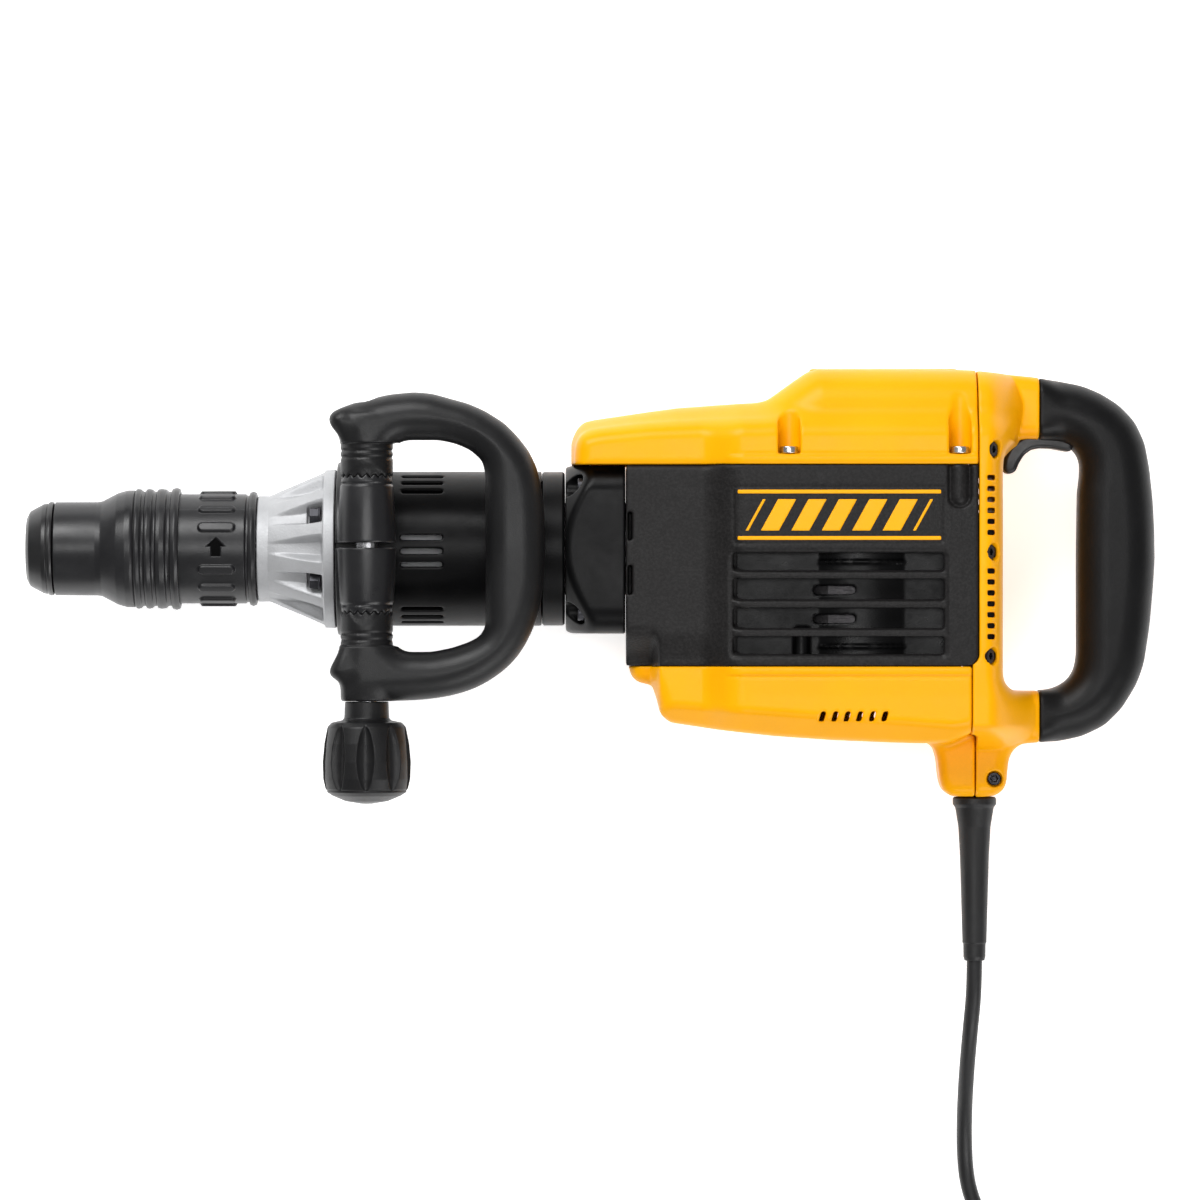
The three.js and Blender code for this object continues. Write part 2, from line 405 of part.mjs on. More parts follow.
// ---- clamp, loop handle, bolt and knob ------------------------------------
{
  const ring = join(tubeX(CLAMP_BORE, RING_R, -139.0, -106.6, 40),
    rodY(EAR_R, -34.9, 38.9, PIVOT_X, PIVOT_Z, 32),
    box(-134.6, -107.2, -31.5, 35.5, 26, PIVOT_Z));
  node('clamp_ring', cut(ring, rodX(CLAMP_BORE, -150, -90, 0, 0, 40), rodY(6.3, -60, 60, PIVOT_X, PIVOT_Z, 20),
    box(-150, -90, 0.1, 2.9, 30, 90)), 'sleeve');
  const arms = slab(LOOP, PIVOT_Z - 15, PIVOT_Z + 15, 8);
  const hubs = join(rodY(HUB_R, 39.2, 60, PIVOT_X, PIVOT_Z, 28), rodY(HUB_R, -83, -35.2, PIVOT_X, PIVOT_Z, 28));
  node('loop_handle', cut(join(arms, hubs), rodY(6.3, -90, 70, PIVOT_X, PIVOT_Z, 20), rodY(9.6, 60, 68.6, PIVOT_X, PIVOT_Z, 6)), 'grip');
  node('clamp_bolt', join(rodY(5.9, -112, 60.6, PIVOT_X, PIVOT_Z, 20), rodY(9.1, 60.3, 67, PIVOT_X, PIVOT_Z, 6)), 'zinc');
  let knob = turnedY([[-83.3, 6.3], [-83.3, 12.2], [-92.8, 12.2], [-94.8, 19.8], [-98, 21.4], [-116, 23.7], [-128, 23.0], [-131.4, 22.0], [-135.5, 16], [-138.6, 8], [-138.6, 0], [-113, 0], [-113, 6.3]], PIVOT_X, PIVOT_Z, 36);
  for (let i = 0; i < 9; i++) {
    const g = new THREE.CylinderGeometry(4.4, 4.4, 32, 10);
    g.translate(26.2, -115, 0);
    g.rotateY((i * 2 * Math.PI) / 9);
    g.translate(PIVOT_X, 0, PIVOT_Z);
    knob = knob.subtract(solid(g));
  }
  node('clamp_knob', knob, 'grip');
}
// ---- cord: strain relief, free cord, coil and plug ------------------------
const EXIT = new THREE.Vector3(EXIT_X, -226.6, 0);
node('strain_relief', turnedY([[-112, CORD_D / 2 + 0.3], [-112, 7.0], [-136.5, 7.0], [-136.5, 11.6], [-153, 8.7], [-169, 8.0], [-226.6, 6.3], [-226.6, CORD_D / 2 + 0.3]], EXIT.x, 0, 16), 'rubber');
const CORD = [[211.6, -226.9, 0], [211.2, -246, -1.5], [209.6, -266, -7], [208.4, -290, -22], [208.2, -312, -39.5], [208.6, -332, -50.5],
  [210, -350, FLOOR + 4.6], [214.5, -366, FLOOR + 4.6], [219.6, -374.2, FLOOR + 4.6]];
{
  const c = new THREE.Shape();
  for (let i = 0; i < 10; i++) c[i ? 'lineTo' : 'moveTo']((CORD_D / 2) * Math.cos((i * Math.PI) / 5), (CORD_D / 2) * Math.sin((i * Math.PI) / 5));
  const path = new THREE.CatmullRomCurve3(CORD.map(([x, y, z]) => new THREE.Vector3(x, y, z)));
  node('cord_tube', solid(new THREE.ExtrudeGeometry(c, { steps: 14, extrudePath: path, bevelEnabled: false })), 'rubber');
  // the spare length, a round coil lying on the floor
  const cx = 213.2, cy = -446.7, h = 17.7, half = 18.5;
  const ring = new THREE.LatheGeometry([[-half, 0.2], [half, 0.2], [half, h], [-half, h], [-half, 0.2]].map(([r, z]) => new THREE.Vector2(COIL_MEAN_R + r, z)), 32);
  ring.rotateX(Math.PI / 2);
  ring.translate(cx, cy, FLOOR);
  node('cord_coil', solid(ring), 'rubber');
  // two-pin plug lying beside the coil
  const px = cx - 88, py = cy + 2;
  const body = slab([[px - 9, py], [px + 9, py], [px + 15, py + 20], [px + 15, py + 34], [px - 15, py + 34], [px - 15, py + 20]], FLOOR + 0.5, FLOOR + 21.9, 4);
  node('plug', join(body, box(px - 7.1, px - 5.6, py + 30, py + 52, FLOOR + 8, FLOOR + 14.4), box(px + 5.6, px + 7.1, py + 30, py + 52, FLOOR + 8, FLOOR + 14.4)), 'rubber');
}
// ---- origin at the middle of the underside, without the free cord ---------
const FREE = new Set(['strain_relief', 'cord_tube', 'cord_coil', 'plug']);
const extent = new THREE.Box3();
for (const m of group.children) if (!FREE.has(m.name)) extent.expandByObject(m);
group.position.set(-(extent.min.x + extent.max.x) / 2, -(extent.min.y + extent.max.y) / 2, -extent.min.z);
export default group;
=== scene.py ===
"""Demolition hammer lying on its side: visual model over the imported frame. Lengths below are in millimetres in the tool's own frame
(hammer axis at Y = 0, Z = 0; X towards the rear handle, Y towards the top cover, Z away from the floor) until place() turns them into the row frame."""
import math

import bpy
import numpy as np
from mathutils import Matrix, Vector


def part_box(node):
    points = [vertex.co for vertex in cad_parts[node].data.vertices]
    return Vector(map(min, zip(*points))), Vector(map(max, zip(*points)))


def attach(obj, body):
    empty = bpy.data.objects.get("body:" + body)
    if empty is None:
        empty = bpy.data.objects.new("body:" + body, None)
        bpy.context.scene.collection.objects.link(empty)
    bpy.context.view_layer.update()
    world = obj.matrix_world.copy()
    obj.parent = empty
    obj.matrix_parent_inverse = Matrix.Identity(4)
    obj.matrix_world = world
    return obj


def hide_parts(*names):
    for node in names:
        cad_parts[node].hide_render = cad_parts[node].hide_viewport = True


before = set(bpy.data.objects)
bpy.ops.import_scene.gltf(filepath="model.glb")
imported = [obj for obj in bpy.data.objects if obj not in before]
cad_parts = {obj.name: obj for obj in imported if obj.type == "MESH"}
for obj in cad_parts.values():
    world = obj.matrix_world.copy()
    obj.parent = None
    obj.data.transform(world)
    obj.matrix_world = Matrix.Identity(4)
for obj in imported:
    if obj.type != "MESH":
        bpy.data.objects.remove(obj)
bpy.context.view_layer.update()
OFF = np.array([-0.5, 20.2, 59.0])
FLOOR = -59.0


def place(p):
    return (np.asarray(p, float) + OFF) / 1000.0


# ---- camera ---------------------------------------------------------------
cam = bpy.data.objects.new("camera", bpy.data.cameras.new("camera"))
bpy.context.scene.collection.objects.link(cam)
cam.location = (0.0050, -0.0080, 4.059)
cam.data.sensor_width = 36.0
cam.data.lens = 218.0
cam.data.clip_end = 30.0
bpy.context.scene.camera = cam


# ---- meshes ---------------------------------------------------------------
def make(name, verts, faces, body, material, replaces=(), slot=None, smooth=True):
    """A mesh object from tool-frame points and a list of index arrays, one per face size."""
    faces = [np.asarray(f, np.int32) for f in faces if len(f)]
    v = ((np.asarray(verts, float) + OFF) / 1000.0).astype(np.float32)
    me = bpy.data.meshes.new(name)
    me.vertices.add(len(v))
    me.vertices.foreach_set("co", v.ravel())
    flat = np.concatenate([f.ravel() for f in faces])
    starts, at = [], 0
    for f in faces:
        starts.append(at + np.arange(len(f)) * f.shape[1])
        at += f.size
    me.loops.add(len(flat))
    me.loops.foreach_set("vertex_index", flat)
    me.polygons.add(sum(len(f) for f in faces))
    me.polygons.foreach_set("loop_start", np.concatenate(starts).astype(np.int32))
    me.update(calc_edges=True)
    me.validate()
    if smooth:
        me.shade_smooth()
    o = bpy.data.objects.new(name, me)
    bpy.context.scene.collection.objects.link(o)
    me.materials.append(material)
    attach(o, body)
    if replaces:
        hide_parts(*replaces)
    return o


class Grid:
    def __init__(self, lo, hi, h):
        h = h * 1.0
        self.h = h
        self.lo = np.array(lo, float) - 1.37 * h
        n = [int(math.ceil((hi[i] + 2.2 * h - self.lo[i]) / h)) + 1 for i in range(3)]
        self.n = n
        self.x = (self.lo[0] + h * np.arange(n[0])).astype(np.float32)[:, None, None]
        self.y = (self.lo[1] + h * np.arange(n[1])).astype(np.float32)[None, :, None]
        self.z = (self.lo[2] + h * np.arange(n[2])).astype(np.float32)[None, None, :]


def tri(F, p):
    top = np.array(F.shape) - 2
    i = np.clip(np.floor(p).astype(np.int64), 0, top)
    t = (p - i).astype(np.float32)
    a, b, c = i.T
    u, v, w = t.T
    out = 0
    for da in (0, 1):
        for db in (0, 1):
            for dc in (0, 1):
                out = out + F[a + da, b + db, c + dc] * (u if da else 1 - u) * (v if db else 1 - v) * (w if dc else 1 - w)
    return out


def nets(F, grid):
    """The zero surface of F as quads: one point per cell that it crosses, moved onto the surface."""
    F = np.ascontiguousarray(np.broadcast_to(F, tuple(grid.n)), np.float32)
    s = F < 0
    tot = np.zeros(tuple(k - 1 for k in F.shape), np.int8)
    for a in (0, 1):
        for b in (0, 1):
            for c in (0, 1):
                tot += s[a:F.shape[0] - 1 + a, b:F.shape[1] - 1 + b, c:F.shape[2] - 1 + c]
    active = (tot > 0) & (tot < 8)
    ids = np.argwhere(active)
    idx = np.full(active.shape, -1, np.int32)
    idx[active] = np.arange(len(ids), dtype=np.int32)
    i, j, k = ids.T
    acc = np.zeros((len(ids), 3), np.float32)
    cnt = np.zeros(len(ids), np.float32)
    for ax in range(3):
        for b in (0, 1):
            for c in (0, 1):
                o = [0, 0, 0]
                o[(ax + 1) % 3], o[(ax + 2) % 3] = b, c
                q = list(o)
                q[ax] = 1
                fa = F[i + o[0], j + o[1], k + o[2]]
                fb = F[i + q[0], j + q[1], k + q[2]]
                m = (fa < 0) != (fb < 0)
                t = fa[m] / (fa[m] - fb[m])
                p = np.zeros((m.sum(), 3), np.float32)
                p[:, 0], p[:, 1], p[:, 2] = o
                p[:, ax] += t
                acc[m] += p
                cnt[m] += 1
    base = ids + acc / cnt[:, None]
    p = base.copy()
    for _ in range(2):
        g = np.stack([tri(F, p + d) - tri(F, p - d) for d in np.eye(3) * 0.5], 1)
        f = tri(F, p)
        step = (f / np.maximum((g * g).sum(1), 1e-3))[:, None] * g
        p = base + np.clip(p - step - base, -0.75, 0.75)
    quads = []
    for ax in range(3):
        lo = [slice(1, -1)] * 3
        hi = [slice(1, -1)] * 3
        lo[ax], hi[ax] = slice(0, -1), slice(1, None)
        a, b = s[tuple(lo)], s[tuple(hi)]
        for first, change in ((True, a & ~b), (False, ~a & b)):
            e = np.argwhere(change)
            if not len(e):
                continue
            e = e + 1
            e[:, ax] -= 1
            u, w = (ax + 1) % 3, (ax + 2) % 3
            ring = []
            for du, dw in ((-1, -1), (0, -1), (0, 0), (-1, 0)):
                r = e.copy()
                r[:, u] += du
                r[:, w] += dw
                ring.append(idx[r[:, 0], r[:, 1], r[:, 2]])
            q = np.stack(ring if first else ring[::-1], 1)
            quads.append(q)
    return grid.lo + p * grid.h, np.concatenate(quads)


def solid(name, F, grid, body, material, **kw):
    v, q = nets(F, grid)
    return make(name, v, [q], body, material, **kw)


# ---- distance helpers -----------------------------------------------------
def poly2(P, X, Y):
    """Signed distance to a closed outline, on broadcastable X and Y."""
    P = np.asarray(P, np.float32)
    X = np.asarray(X, np.float32)
    Y = np.asarray(Y, np.float32)
    shape = np.broadcast(X, Y).shape
    d = np.full(shape, 1e9, np.float32)
    s = np.ones(shape, np.float32)
    Q = np.roll(P, -1, 0)
    for (ax, ay), (bx, by) in zip(P, Q):
        ex, ey = bx - ax, by - ay
        wx, wy = X - ax, Y - ay
        t = np.clip((wx * ex + wy * ey) / max(ex * ex + ey * ey, 1e-9), 0, 1)
        dx, dy = wx - ex * t, wy - ey * t
        d = np.minimum(d, dx * dx + dy * dy)
        c1, c2, c3 = Y >= ay, Y < by, ex * wy > ey * wx
        s = np.where((c1 & c2 & c3) | (~c1 & ~c2 & ~c3), -s, s)
    return s * np.sqrt(d)


def soften(P, sigma=2.0, step=1.0, sharp=()):
    """The closed outline resampled evenly and smoothed; corners near a point of sharp stay."""
    P = np.asarray(P, float)
    Q = np.vstack([P, P[:1]])
    seg = np.hypot(*np.diff(Q, axis=0).T)
    at = np.concatenate([[0], np.cumsum(seg)])
    n = int(at[-1] / step)
    u = np.arange(n) * at[-1] / n
    R = np.stack([np.interp(u, at, Q[:, 0]), np.interp(u, at, Q[:, 1])], 1)
    w = int(4 * sigma / step) + 1
    k = np.exp(-0.5 * (np.arange(-w, w + 1) * step / sigma) ** 2)
    k /= k.sum()
    S = np.stack([np.convolve(np.concatenate([c[-w:], c, c[:w]]), k, "valid") for c in R.T], 1)
    for x, y, r in sharp:
        m = np.clip(1.6 - np.hypot(R[:, 0] - x, R[:, 1] - y) / r, 0, 1)[:, None]
        S = S * (1 - m) + R * m
    return S


def rint(a, b, r):
    """Both shapes' common part with its edge rounded by r."""
    return np.minimum(-r, np.maximum(a, b)) + np.hypot(np.maximum(a + r, 0), np.maximum(b + r, 0))


def rcut(a, b, r=0.6):
    return rint(a, -b, r)


def rjoin(a, b, r):
    return -rint(-a, -b, r)


def box3(g, x0, x1, y0, y1, z0, z1, r=0.0):
    dx = np.abs(g.x - (x0 + x1) / 2) - (x1 - x0) / 2 + r
    dy = np.abs(g.y - (y0 + y1) / 2) - (y1 - y0) / 2 + r
    dz = np.abs(g.z - (z0 + z1) / 2) - (z1 - z0) / 2 + r
    return np.minimum(np.maximum(np.maximum(dx, dy), dz), 0) + np.sqrt(np.maximum(dx, 0) ** 2 + np.maximum(dy, 0) ** 2 + np.maximum(dz, 0) ** 2) - r


def rect2(a, b, ha, hb, r):
    da, db = np.abs(a) - ha + r, np.abs(b) - hb + r
    return np.minimum(np.maximum(da, db), 0) + np.hypot(np.maximum(da, 0), np.maximum(db, 0)) - r


def ss(e0, e1, v):
    t = np.clip((v - e0) / (e1 - e0), 0, 1)
    return t * t * (3 - 2 * t)


def fillet(points, steps=5):
    """A polyline whose corners, given as (a, b, radius), become arcs."""
    P = [np.array(p[:2], float) for p in points]
    R = [p[2] if len(p) > 2 else 0.0 for p in points]
    out = [P[0]]
    for i in range(1, len(P) - 1):
        a, b, c, r = P[i - 1], P[i], P[i + 1], R[i]
        u, v = a - b, c - b
        lu, lv = np.linalg.norm(u), np.linalg.norm(v)
        if r <= 0 or lu < 1e-6 or lv < 1e-6:
            out.append(b)
            continue
        u, v = u / lu, v / lv
        ang = math.acos(float(np.clip(u @ v, -1, 1)))
        if ang > math.pi - 0.03:
            out.append(b)
            continue
        t = min(r / math.tan(ang / 2), 0.46 * lu, 0.46 * lv)
        p0, p1 = b + u * t, b + v * t
        for k in range(steps + 1):
            s = k / steps
            out.append((1 - s) ** 2 * p0 + 2 * s * (1 - s) * b + s * s * p1)
    out.append(P[-1])
    return np.array(out)


def refine(P, step):
    out = [P[0]]
    for a, b in zip(P[:-1], P[1:]):
        n = max(1, int(np.linalg.norm(b - a) / step))
        for k in range(1, n + 1):
            out.append(a + (b - a) * k / n)
    return np.array(out)


def turned(name, profile, body, material, axis="X", centre=(0, 0, 0), n=160, radius=None, closed=True, **kw):
    """A turned piece. profile is (along, radius) points; closed means a ring with a bore, otherwise both ends reach the axis.
    radius(along, angle, r) may change the radius; angle 0 faces +Z for X pieces and grows towards +Y."""
    P = np.asarray(profile, float)
    th = np.arange(n) * 2 * math.pi / n
    A, Rr = P[:, :1], P[:, 1:2]
    R = Rr + 0 * th[None, :]
    if radius is not None:
        R = radius(A + 0 * th[None, :], th[None, :] + 0 * A, R)
    A = A + 0 * th[None, :]
    s, c = np.sin(th)[None, :], np.cos(th)[None, :]
    if axis == "X":
        V = np.stack([A + centre[0], R * s + centre[1], R * c + centre[2]], -1)
    elif axis == "Y":
        V = np.stack([R * s + centre[0], A + centre[1], R * c + centre[2]], -1)
    else:
        V = np.stack([R * s + centre[0], R * c + centre[1], A + centre[2]], -1)
    m = len(P)
    i = np.arange(n)
    j = (i + 1) % n
    faces, tris = [], []
    last = m if closed else m - 1
    for k in range(last):
        a, b = k * n, ((k + 1) % m) * n
        faces.append(np.stack([a + i, b + i, b + j, a + j], 1))
    V = V.reshape(-1, 3)
    if not closed:
        ends = []
        for k in (0, m - 1):
            ends.append(V[k * n:(k + 1) * n].mean(0))
        V = np.vstack([V, ends])
        tris = [np.stack([np.full(n, m * n), i, j], 1), np.stack([np.full(n, m * n + 1), (m - 1) * n + j, (m - 1) * n + i], 1)]
        tris = [np.concatenate(tris)]
    Q = np.concatenate(faces)
    F = [Q] + tris
    # outward check by signed volume
    a, b, c_ = V[Q[:, 0]], V[Q[:, 1]], V[Q[:, 2]]
    d = V[Q[:, 3]]
    o0 = V.mean(0)
    vol = np.einsum("ij,ij->i", a - o0, np.cross(b - o0, c_ - o0)).sum() + np.einsum("ij,ij->i", a - o0, np.cross(c_ - o0, d - o0)).sum()
    if vol < 0:
        F = [f[:, ::-1] for f in F]
    return make(name, V, F, body, material, **kw)


# ---- materials ------------------------------------------------------------
def lin(*rgb):
    return tuple(((c / 255) / 12.92 if c / 255 <= 0.04045 else ((c / 255 + 0.055) / 1.055) ** 2.4) for c in rgb) + (1.0,)


def shader(name, base, dark=0.86, light=1.06, rough=0.5, rough_var=0.08, metallic=0.0, grain=1500.0, grain_amt=0.12, swell=60.0, coat=0.0, spec=0.5,
           edge=0.0, edge_rgb=None, scratch=0.0, scratch_axis=0, sheen=0.0, speck=0.0, mottle=0.0):
    m = bpy.data.materials.new(name)
    m.use_nodes = True
    t = m.node_tree
    N, L = t.nodes, t.links
    N.clear()
    out = N.new("ShaderNodeOutputMaterial")
    bs = N.new("ShaderNodeBsdfPrincipled")
    L.new(bs.outputs[0], out.inputs[0])
    bs.inputs["Metallic"].default_value = metallic
    bs.inputs["Specular IOR Level"].default_value = spec
    bs.inputs["Coat Weight"].default_value = coat
    bs.inputs["Coat Roughness"].default_value = 0.25
    bs.inputs["Sheen Weight"].default_value = sheen
    co = N.new("ShaderNodeTexCoord").outputs["Object"]

    def noise(scale, detail=3.0, rough_=0.55, vec=co):
        q = N.new("ShaderNodeTexNoise")
        q.inputs["Scale"].default_value = scale
        q.inputs["Detail"].default_value = detail
        q.inputs["Roughness"].default_value = rough_
        L.new(vec, q.inputs["Vector"])
        return q.outputs["Fac"]

    def rng(v, a, b, c, d):
        q = N.new("ShaderNodeMapRange")
        for k, x in zip(("From Min", "From Max", "To Min", "To Max"), (a, b, c, d)):
            q.inputs[k].default_value = x
        L.new(v, q.inputs["Value"])
        return q.outputs["Result"]

    def mixc(fac, a, b):
        q = N.new("ShaderNodeMix")
        q.data_type = "RGBA"
        L.new(fac, q.inputs[0]) if not isinstance(fac, float) else setattr(q.inputs[0], "default_value", fac)
        for k, x in ((6, a), (7, b)):
            if isinstance(x, tuple):
                q.inputs[k].default_value = x
            else:
                L.new(x, q.inputs[k])
        return q.outputs[2]

    def math_(op, a, b):
        q = N.new("ShaderNodeMath")
        q.operation = op
        for k, x in ((0, a), (1, b)):
            if isinstance(x, (int, float)):
                q.inputs[k].default_value = x
            else:
                L.new(x, q.inputs[k])
        return q.outputs[0]

    big = noise(swell, 4.0)
    fine = noise(grain, 2.0, 0.6)
    mid = noise(grain * 0.22, 3.0)
    scale = lambda k: tuple(min(c * k, 1.0) for c in base[:3]) + (1.0,)
    col = mixc(rng(big, 0.36, 0.64, 0.0, 1.0), scale(dark), scale(light))
    col = mixc(rng(fine, 0.35, 0.7, 0.0, 0.35), col, scale(dark * 0.93))
    if mottle > 0:
        fleck = noise(grain * 0.75, 2.0, 0.7)
        col = mixc(rng(fleck, 0.42, 0.62, 0.0, mottle), col, scale(2.2))
    if edge > 0:
        pt = N.new("ShaderNodeNewGeometry").outputs["Pointiness"]
        worn = math_("MULTIPLY", rng(pt, 0.555, 0.63, 0.0, edge), rng(mid, 0.4, 0.62, 0.25, 1.0))
        col = mixc(worn, col, edge_rgb or scale(1.7))
    if speck > 0:
        v = N.new("ShaderNodeTexVoronoi")
        v.inputs["Scale"].default_value = grain * 0.35
        L.new(co, v.inputs["Vector"])
        col = mixc(rng(v.outputs["Distance"], 0.08, 0.16, speck, 0.0), col, scale(0.6))
    L.new(col, bs.inputs["Base Color"])
    r = rng(big, 0.3, 0.7, max(rough - rough_var, 0.03), min(rough + rough_var, 1.0))
    r = math_("ADD", r, rng(mid, 0.3, 0.7, -rough_var * 0.5, rough_var * 0.5))
    height = math_("ADD", math_("MULTIPLY", fine, 1.0), math_("MULTIPLY", mid, 0.6))
    if scratch > 0:
        mp = N.new("ShaderNodeMapping")
        L.new(co, mp.inputs["Vector"])
        sc = [1.0, 1.0, 1.0]
        sc[scratch_axis] = 0.02
        mp.inputs["Scale"].default_value = sc
        lines = noise(grain * 1.2, 2.0, 0.5, mp.outputs[0])
        height = math_("ADD", height, math_("MULTIPLY", lines, scratch))
        r = math_("ADD", r, rng(lines, 0.3, 0.7, -0.08, 0.08))
    L.new(r, bs.inputs["Roughness"])
    bump = N.new("ShaderNodeBump")
    bump.inputs["Strength"].default_value = grain_amt
    bump.inputs["Distance"].default_value = 0.0004
    L.new(height, bump.inputs["Height"])
    L.new(bump.outputs[0], bs.inputs["Normal"])
    return m


YELLOW = shader("moulded_yellow", lin(250, 172, 0), 0.96, 1.03, 0.34, 0.05, grain=900, grain_amt=0.06, swell=22, edge=0.2, edge_rgb=lin(255, 205, 60), spec=0.15)
INK = shader("arrow_ink", lin(4, 4, 4), 0.85, 1.2, 0.8, 0.05, grain=1500, grain_amt=0.2, swell=80, spec=0.06)
# near-black for the field case and air guide: their own black plastic made darker still, painted shade for the inside
# of the housing
CASE_BLACK_WITH_PAINTED_SHADE = shader("field_case_plastic_with_painted_shade", lin(8, 8, 9), 0.88, 1.15, 0.34, 0.07, grain=1200, grain_amt=0.2, swell=50, spec=0.16)
BLACK = shader("moulded_black_fine", lin(25, 24, 24), 0.84, 1.16, 0.44, 0.06, grain=850, grain_amt=0.6, swell=35, edge=0.3, edge_rgb=lin(88, 87, 87), speck=0.5, mottle=0.5, spec=0.19)
SATIN = shader("black_satin", lin(26, 26, 28), 0.9, 1.1, 0.34, 0.06, grain=1300, grain_amt=0.10, swell=40, edge=0.3, edge_rgb=lin(84, 84, 86), spec=0.42)
PAINTED = shader("black_painted_casting", lin(9, 9, 10), 0.88, 1.12, 0.36, 0.05, grain=900, grain_amt=0.10, swell=45, edge=0.15, edge_rgb=lin(80, 80, 82), spec=0.12)
# one grip rubber in two tones: this lighter copy on the loop and knob is painted highlight, the darker copy below is
# the same rubber on the rear grip
GRIP_WITH_PAINTED_HIGHLIGHT = shader("grip_rubber", lin(21, 21, 22), 0.9, 1.1, 0.40, 0.05, grain=1700, grain_amt=0.22, swell=30, spec=0.3)
REAR_GRIP = shader("rear_grip_rubber", lin(15, 15, 16), 0.9, 1.1, 0.42, 0.05, grain=1700, grain_amt=0.22, swell=30, spec=0.2)
RUBBER = shader("cord_rubber", lin(25, 25, 26), 0.9, 1.12, 0.46, 0.06, grain=1600, grain_amt=0.18, swell=50, spec=0.4)
CAP = shader("cap_rubber", lin(22, 22, 23), 0.9, 1.12, 0.34, 0.06, grain=1200, grain_amt=0.10, swell=45)
ALU = shader("cast_aluminium", lin(182, 183, 185), 0.93, 1.04, 0.55, 0.06, metallic=0.45, grain=900, grain_amt=0.40, swell=70, edge=0.3, edge_rgb=lin(240, 240, 242), spec=0.5)
STEEL = shader("turned_steel", lin(176, 177, 180), 0.9, 1.05, 0.28, 0.06, metallic=1.0, grain=1600, grain_amt=0.10, swell=60, scratch=1.4, scratch_axis=0)
PLATED = shader("plated_steel_dull", lin(70, 70, 74), 0.88, 1.06, 0.42, 0.06, metallic=0.9, grain=1800, grain_amt=0.12, swell=120)
ZINC = shader("zinc_plated", lin(205, 205, 208), 0.9, 1.05, 0.26, 0.07, metallic=1.0, grain=2200, grain_amt=0.10, swell=120)
DARK_STEEL = shader("dark_steel", lin(52, 52, 56), 0.85, 1.1, 0.34, 0.06, metallic=0.9, grain=2000, grain_amt=0.12, swell=150)
GEAR = shader("gear_steel", lin(140, 140, 144), 0.85, 1.06, 0.32, 0.07, metallic=1.0, grain=1400, grain_amt=0.14, swell=80, scratch=0.8, scratch_axis=1)
LAMIN = shader("lamination", lin(92, 90, 92), 0.8, 1.1, 0.45, 0.08, metallic=0.8, grain=900, grain_amt=0.5, swell=60, scratch=2.0, scratch_axis=0)
COPPER = shader("copper", lin(184, 104, 62), 0.85, 1.08, 0.3, 0.07, metallic=1.0, grain=1600, grain_amt=0.2, swell=80)
SWITCH = shader("switch_plastic", lin(58, 60, 64), 0.9, 1.06, 0.5, 0.05, grain=1300, grain_amt=0.15, swell=50)

# ---- cord -----------------------------------------------------------------
CORD_D = 8.6
CX, CY = 213.2, -446.7
PITCH, R_OUT = 8.75, 62.5
lead = np.array([[211.6, -206, 0], [211.6, -226.9, 0], [211.2, -246, -1.5], [209.6, -266, -7], [208.4, -290, -22], [208.2, -312, -39.5], [208.6, -332, -50.5],
                 [210.0, -350, -54.5], [214.5, -366, -54.6], [224.5, -381, -54.6]])
turns1 = (7 + 150 / 360 - 1) / 2
pts = []
total = 2 * turns1 + 1
for q in np.arange(0, total + 1e-6, 1 / 40):
    th = math.radians(60) - 2 * math.pi * q
    if q < turns1:
        R, z = R_OUT - PITCH * q, 0.0
    elif q < turns1 + 1:
        a = q - turns1
        R = R_OUT - PITCH * turns1
        z = 8.75 * (a + 0.42 * math.sin(math.pi * a) * (1 - a) * 1.0)
    else:
        R, z = R_OUT - PITCH * turns1 + PITCH * (q - turns1 - 1), 8.75
    left = total - q
    if left < 0.2:
        z *= ss(0.0, 0.2, left) * 0.35 + 0.65
    pts.append([CX + R * math.cos(th), CY + R * math.sin(th), FLOOR + CORD_D / 2 + 0.15 + min(z, 8.75)])
pts = np.array(pts)
end = pts[-1]
PLUG_X = CX - 88.0
PLUG_Y = CY + 2.0
tail = []
for a in np.linspace(6, 90, 15):
    a = math.radians(a)
    tail.append([PLUG_X + (end[0] - PLUG_X) * (1 - math.sin(a)), PLUG_Y - 4 + (end[1] - PLUG_Y + 4) * math.cos(a),
                 FLOOR + CORD_D / 2 + 0.15 + (end[2] - FLOOR - CORD_D / 2 - 0.15) * (1 - ss(0, 60, math.degrees(a))) + 6.2 * ss(50, 90, math.degrees(a))])
tail.append([PLUG_X, PLUG_Y + 9, FLOOR + 11.0])
route = np.vstack([lead, pts, tail])


def catmull(P, step):
    P = np.asarray(P, float)
    out = []
    Q = np.vstack([2 * P[0] - P[1], P, 2 * P[-1] - P[-2]])
    for i in range(1, len(Q) - 2):
        a, b, c, d = Q[i - 1], Q[i], Q[i + 1], Q[i + 2]
        n = max(1, int(np.linalg.norm(c - b) / step))
        for k in range(n):
            t = k / n
            out.append(0.5 * ((2 * b) + (c - a) * t + (2 * a - 5 * b + 4 * c - d) * t * t + (3 * b - a - 3 * c + d) * t ** 3))
    out.append(P[-1])
    return np.array(out)


line = catmull(route, 4.0)
for _ in range(3):  # ease the joins between lead, coil and tail
    line[1:-1] = line[1:-1] * 0.5 + 0.25 * (line[:-2] + line[2:])
cu = bpy.data.curves.new("mains_cord", "CURVE")
cu.dimensions = "3D"
sp = cu.splines.new("POLY")
W3 = place(line)
sp.points.add(len(W3) - 1)
sp.points.foreach_set("co", np.hstack([W3, np.ones((len(W3), 1))]).ravel())
sp.use_smooth = True
cu.bevel_depth = CORD_D / 2000
cu.bevel_resolution = 6
cu.use_fill_caps = True
cord = bpy.data.objects.new("mains_cord", cu)
bpy.context.scene.collection.objects.link(cord)
cu.materials.append(RUBBER)
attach(cord, "housing")
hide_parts("cord_tube", "cord_coil")

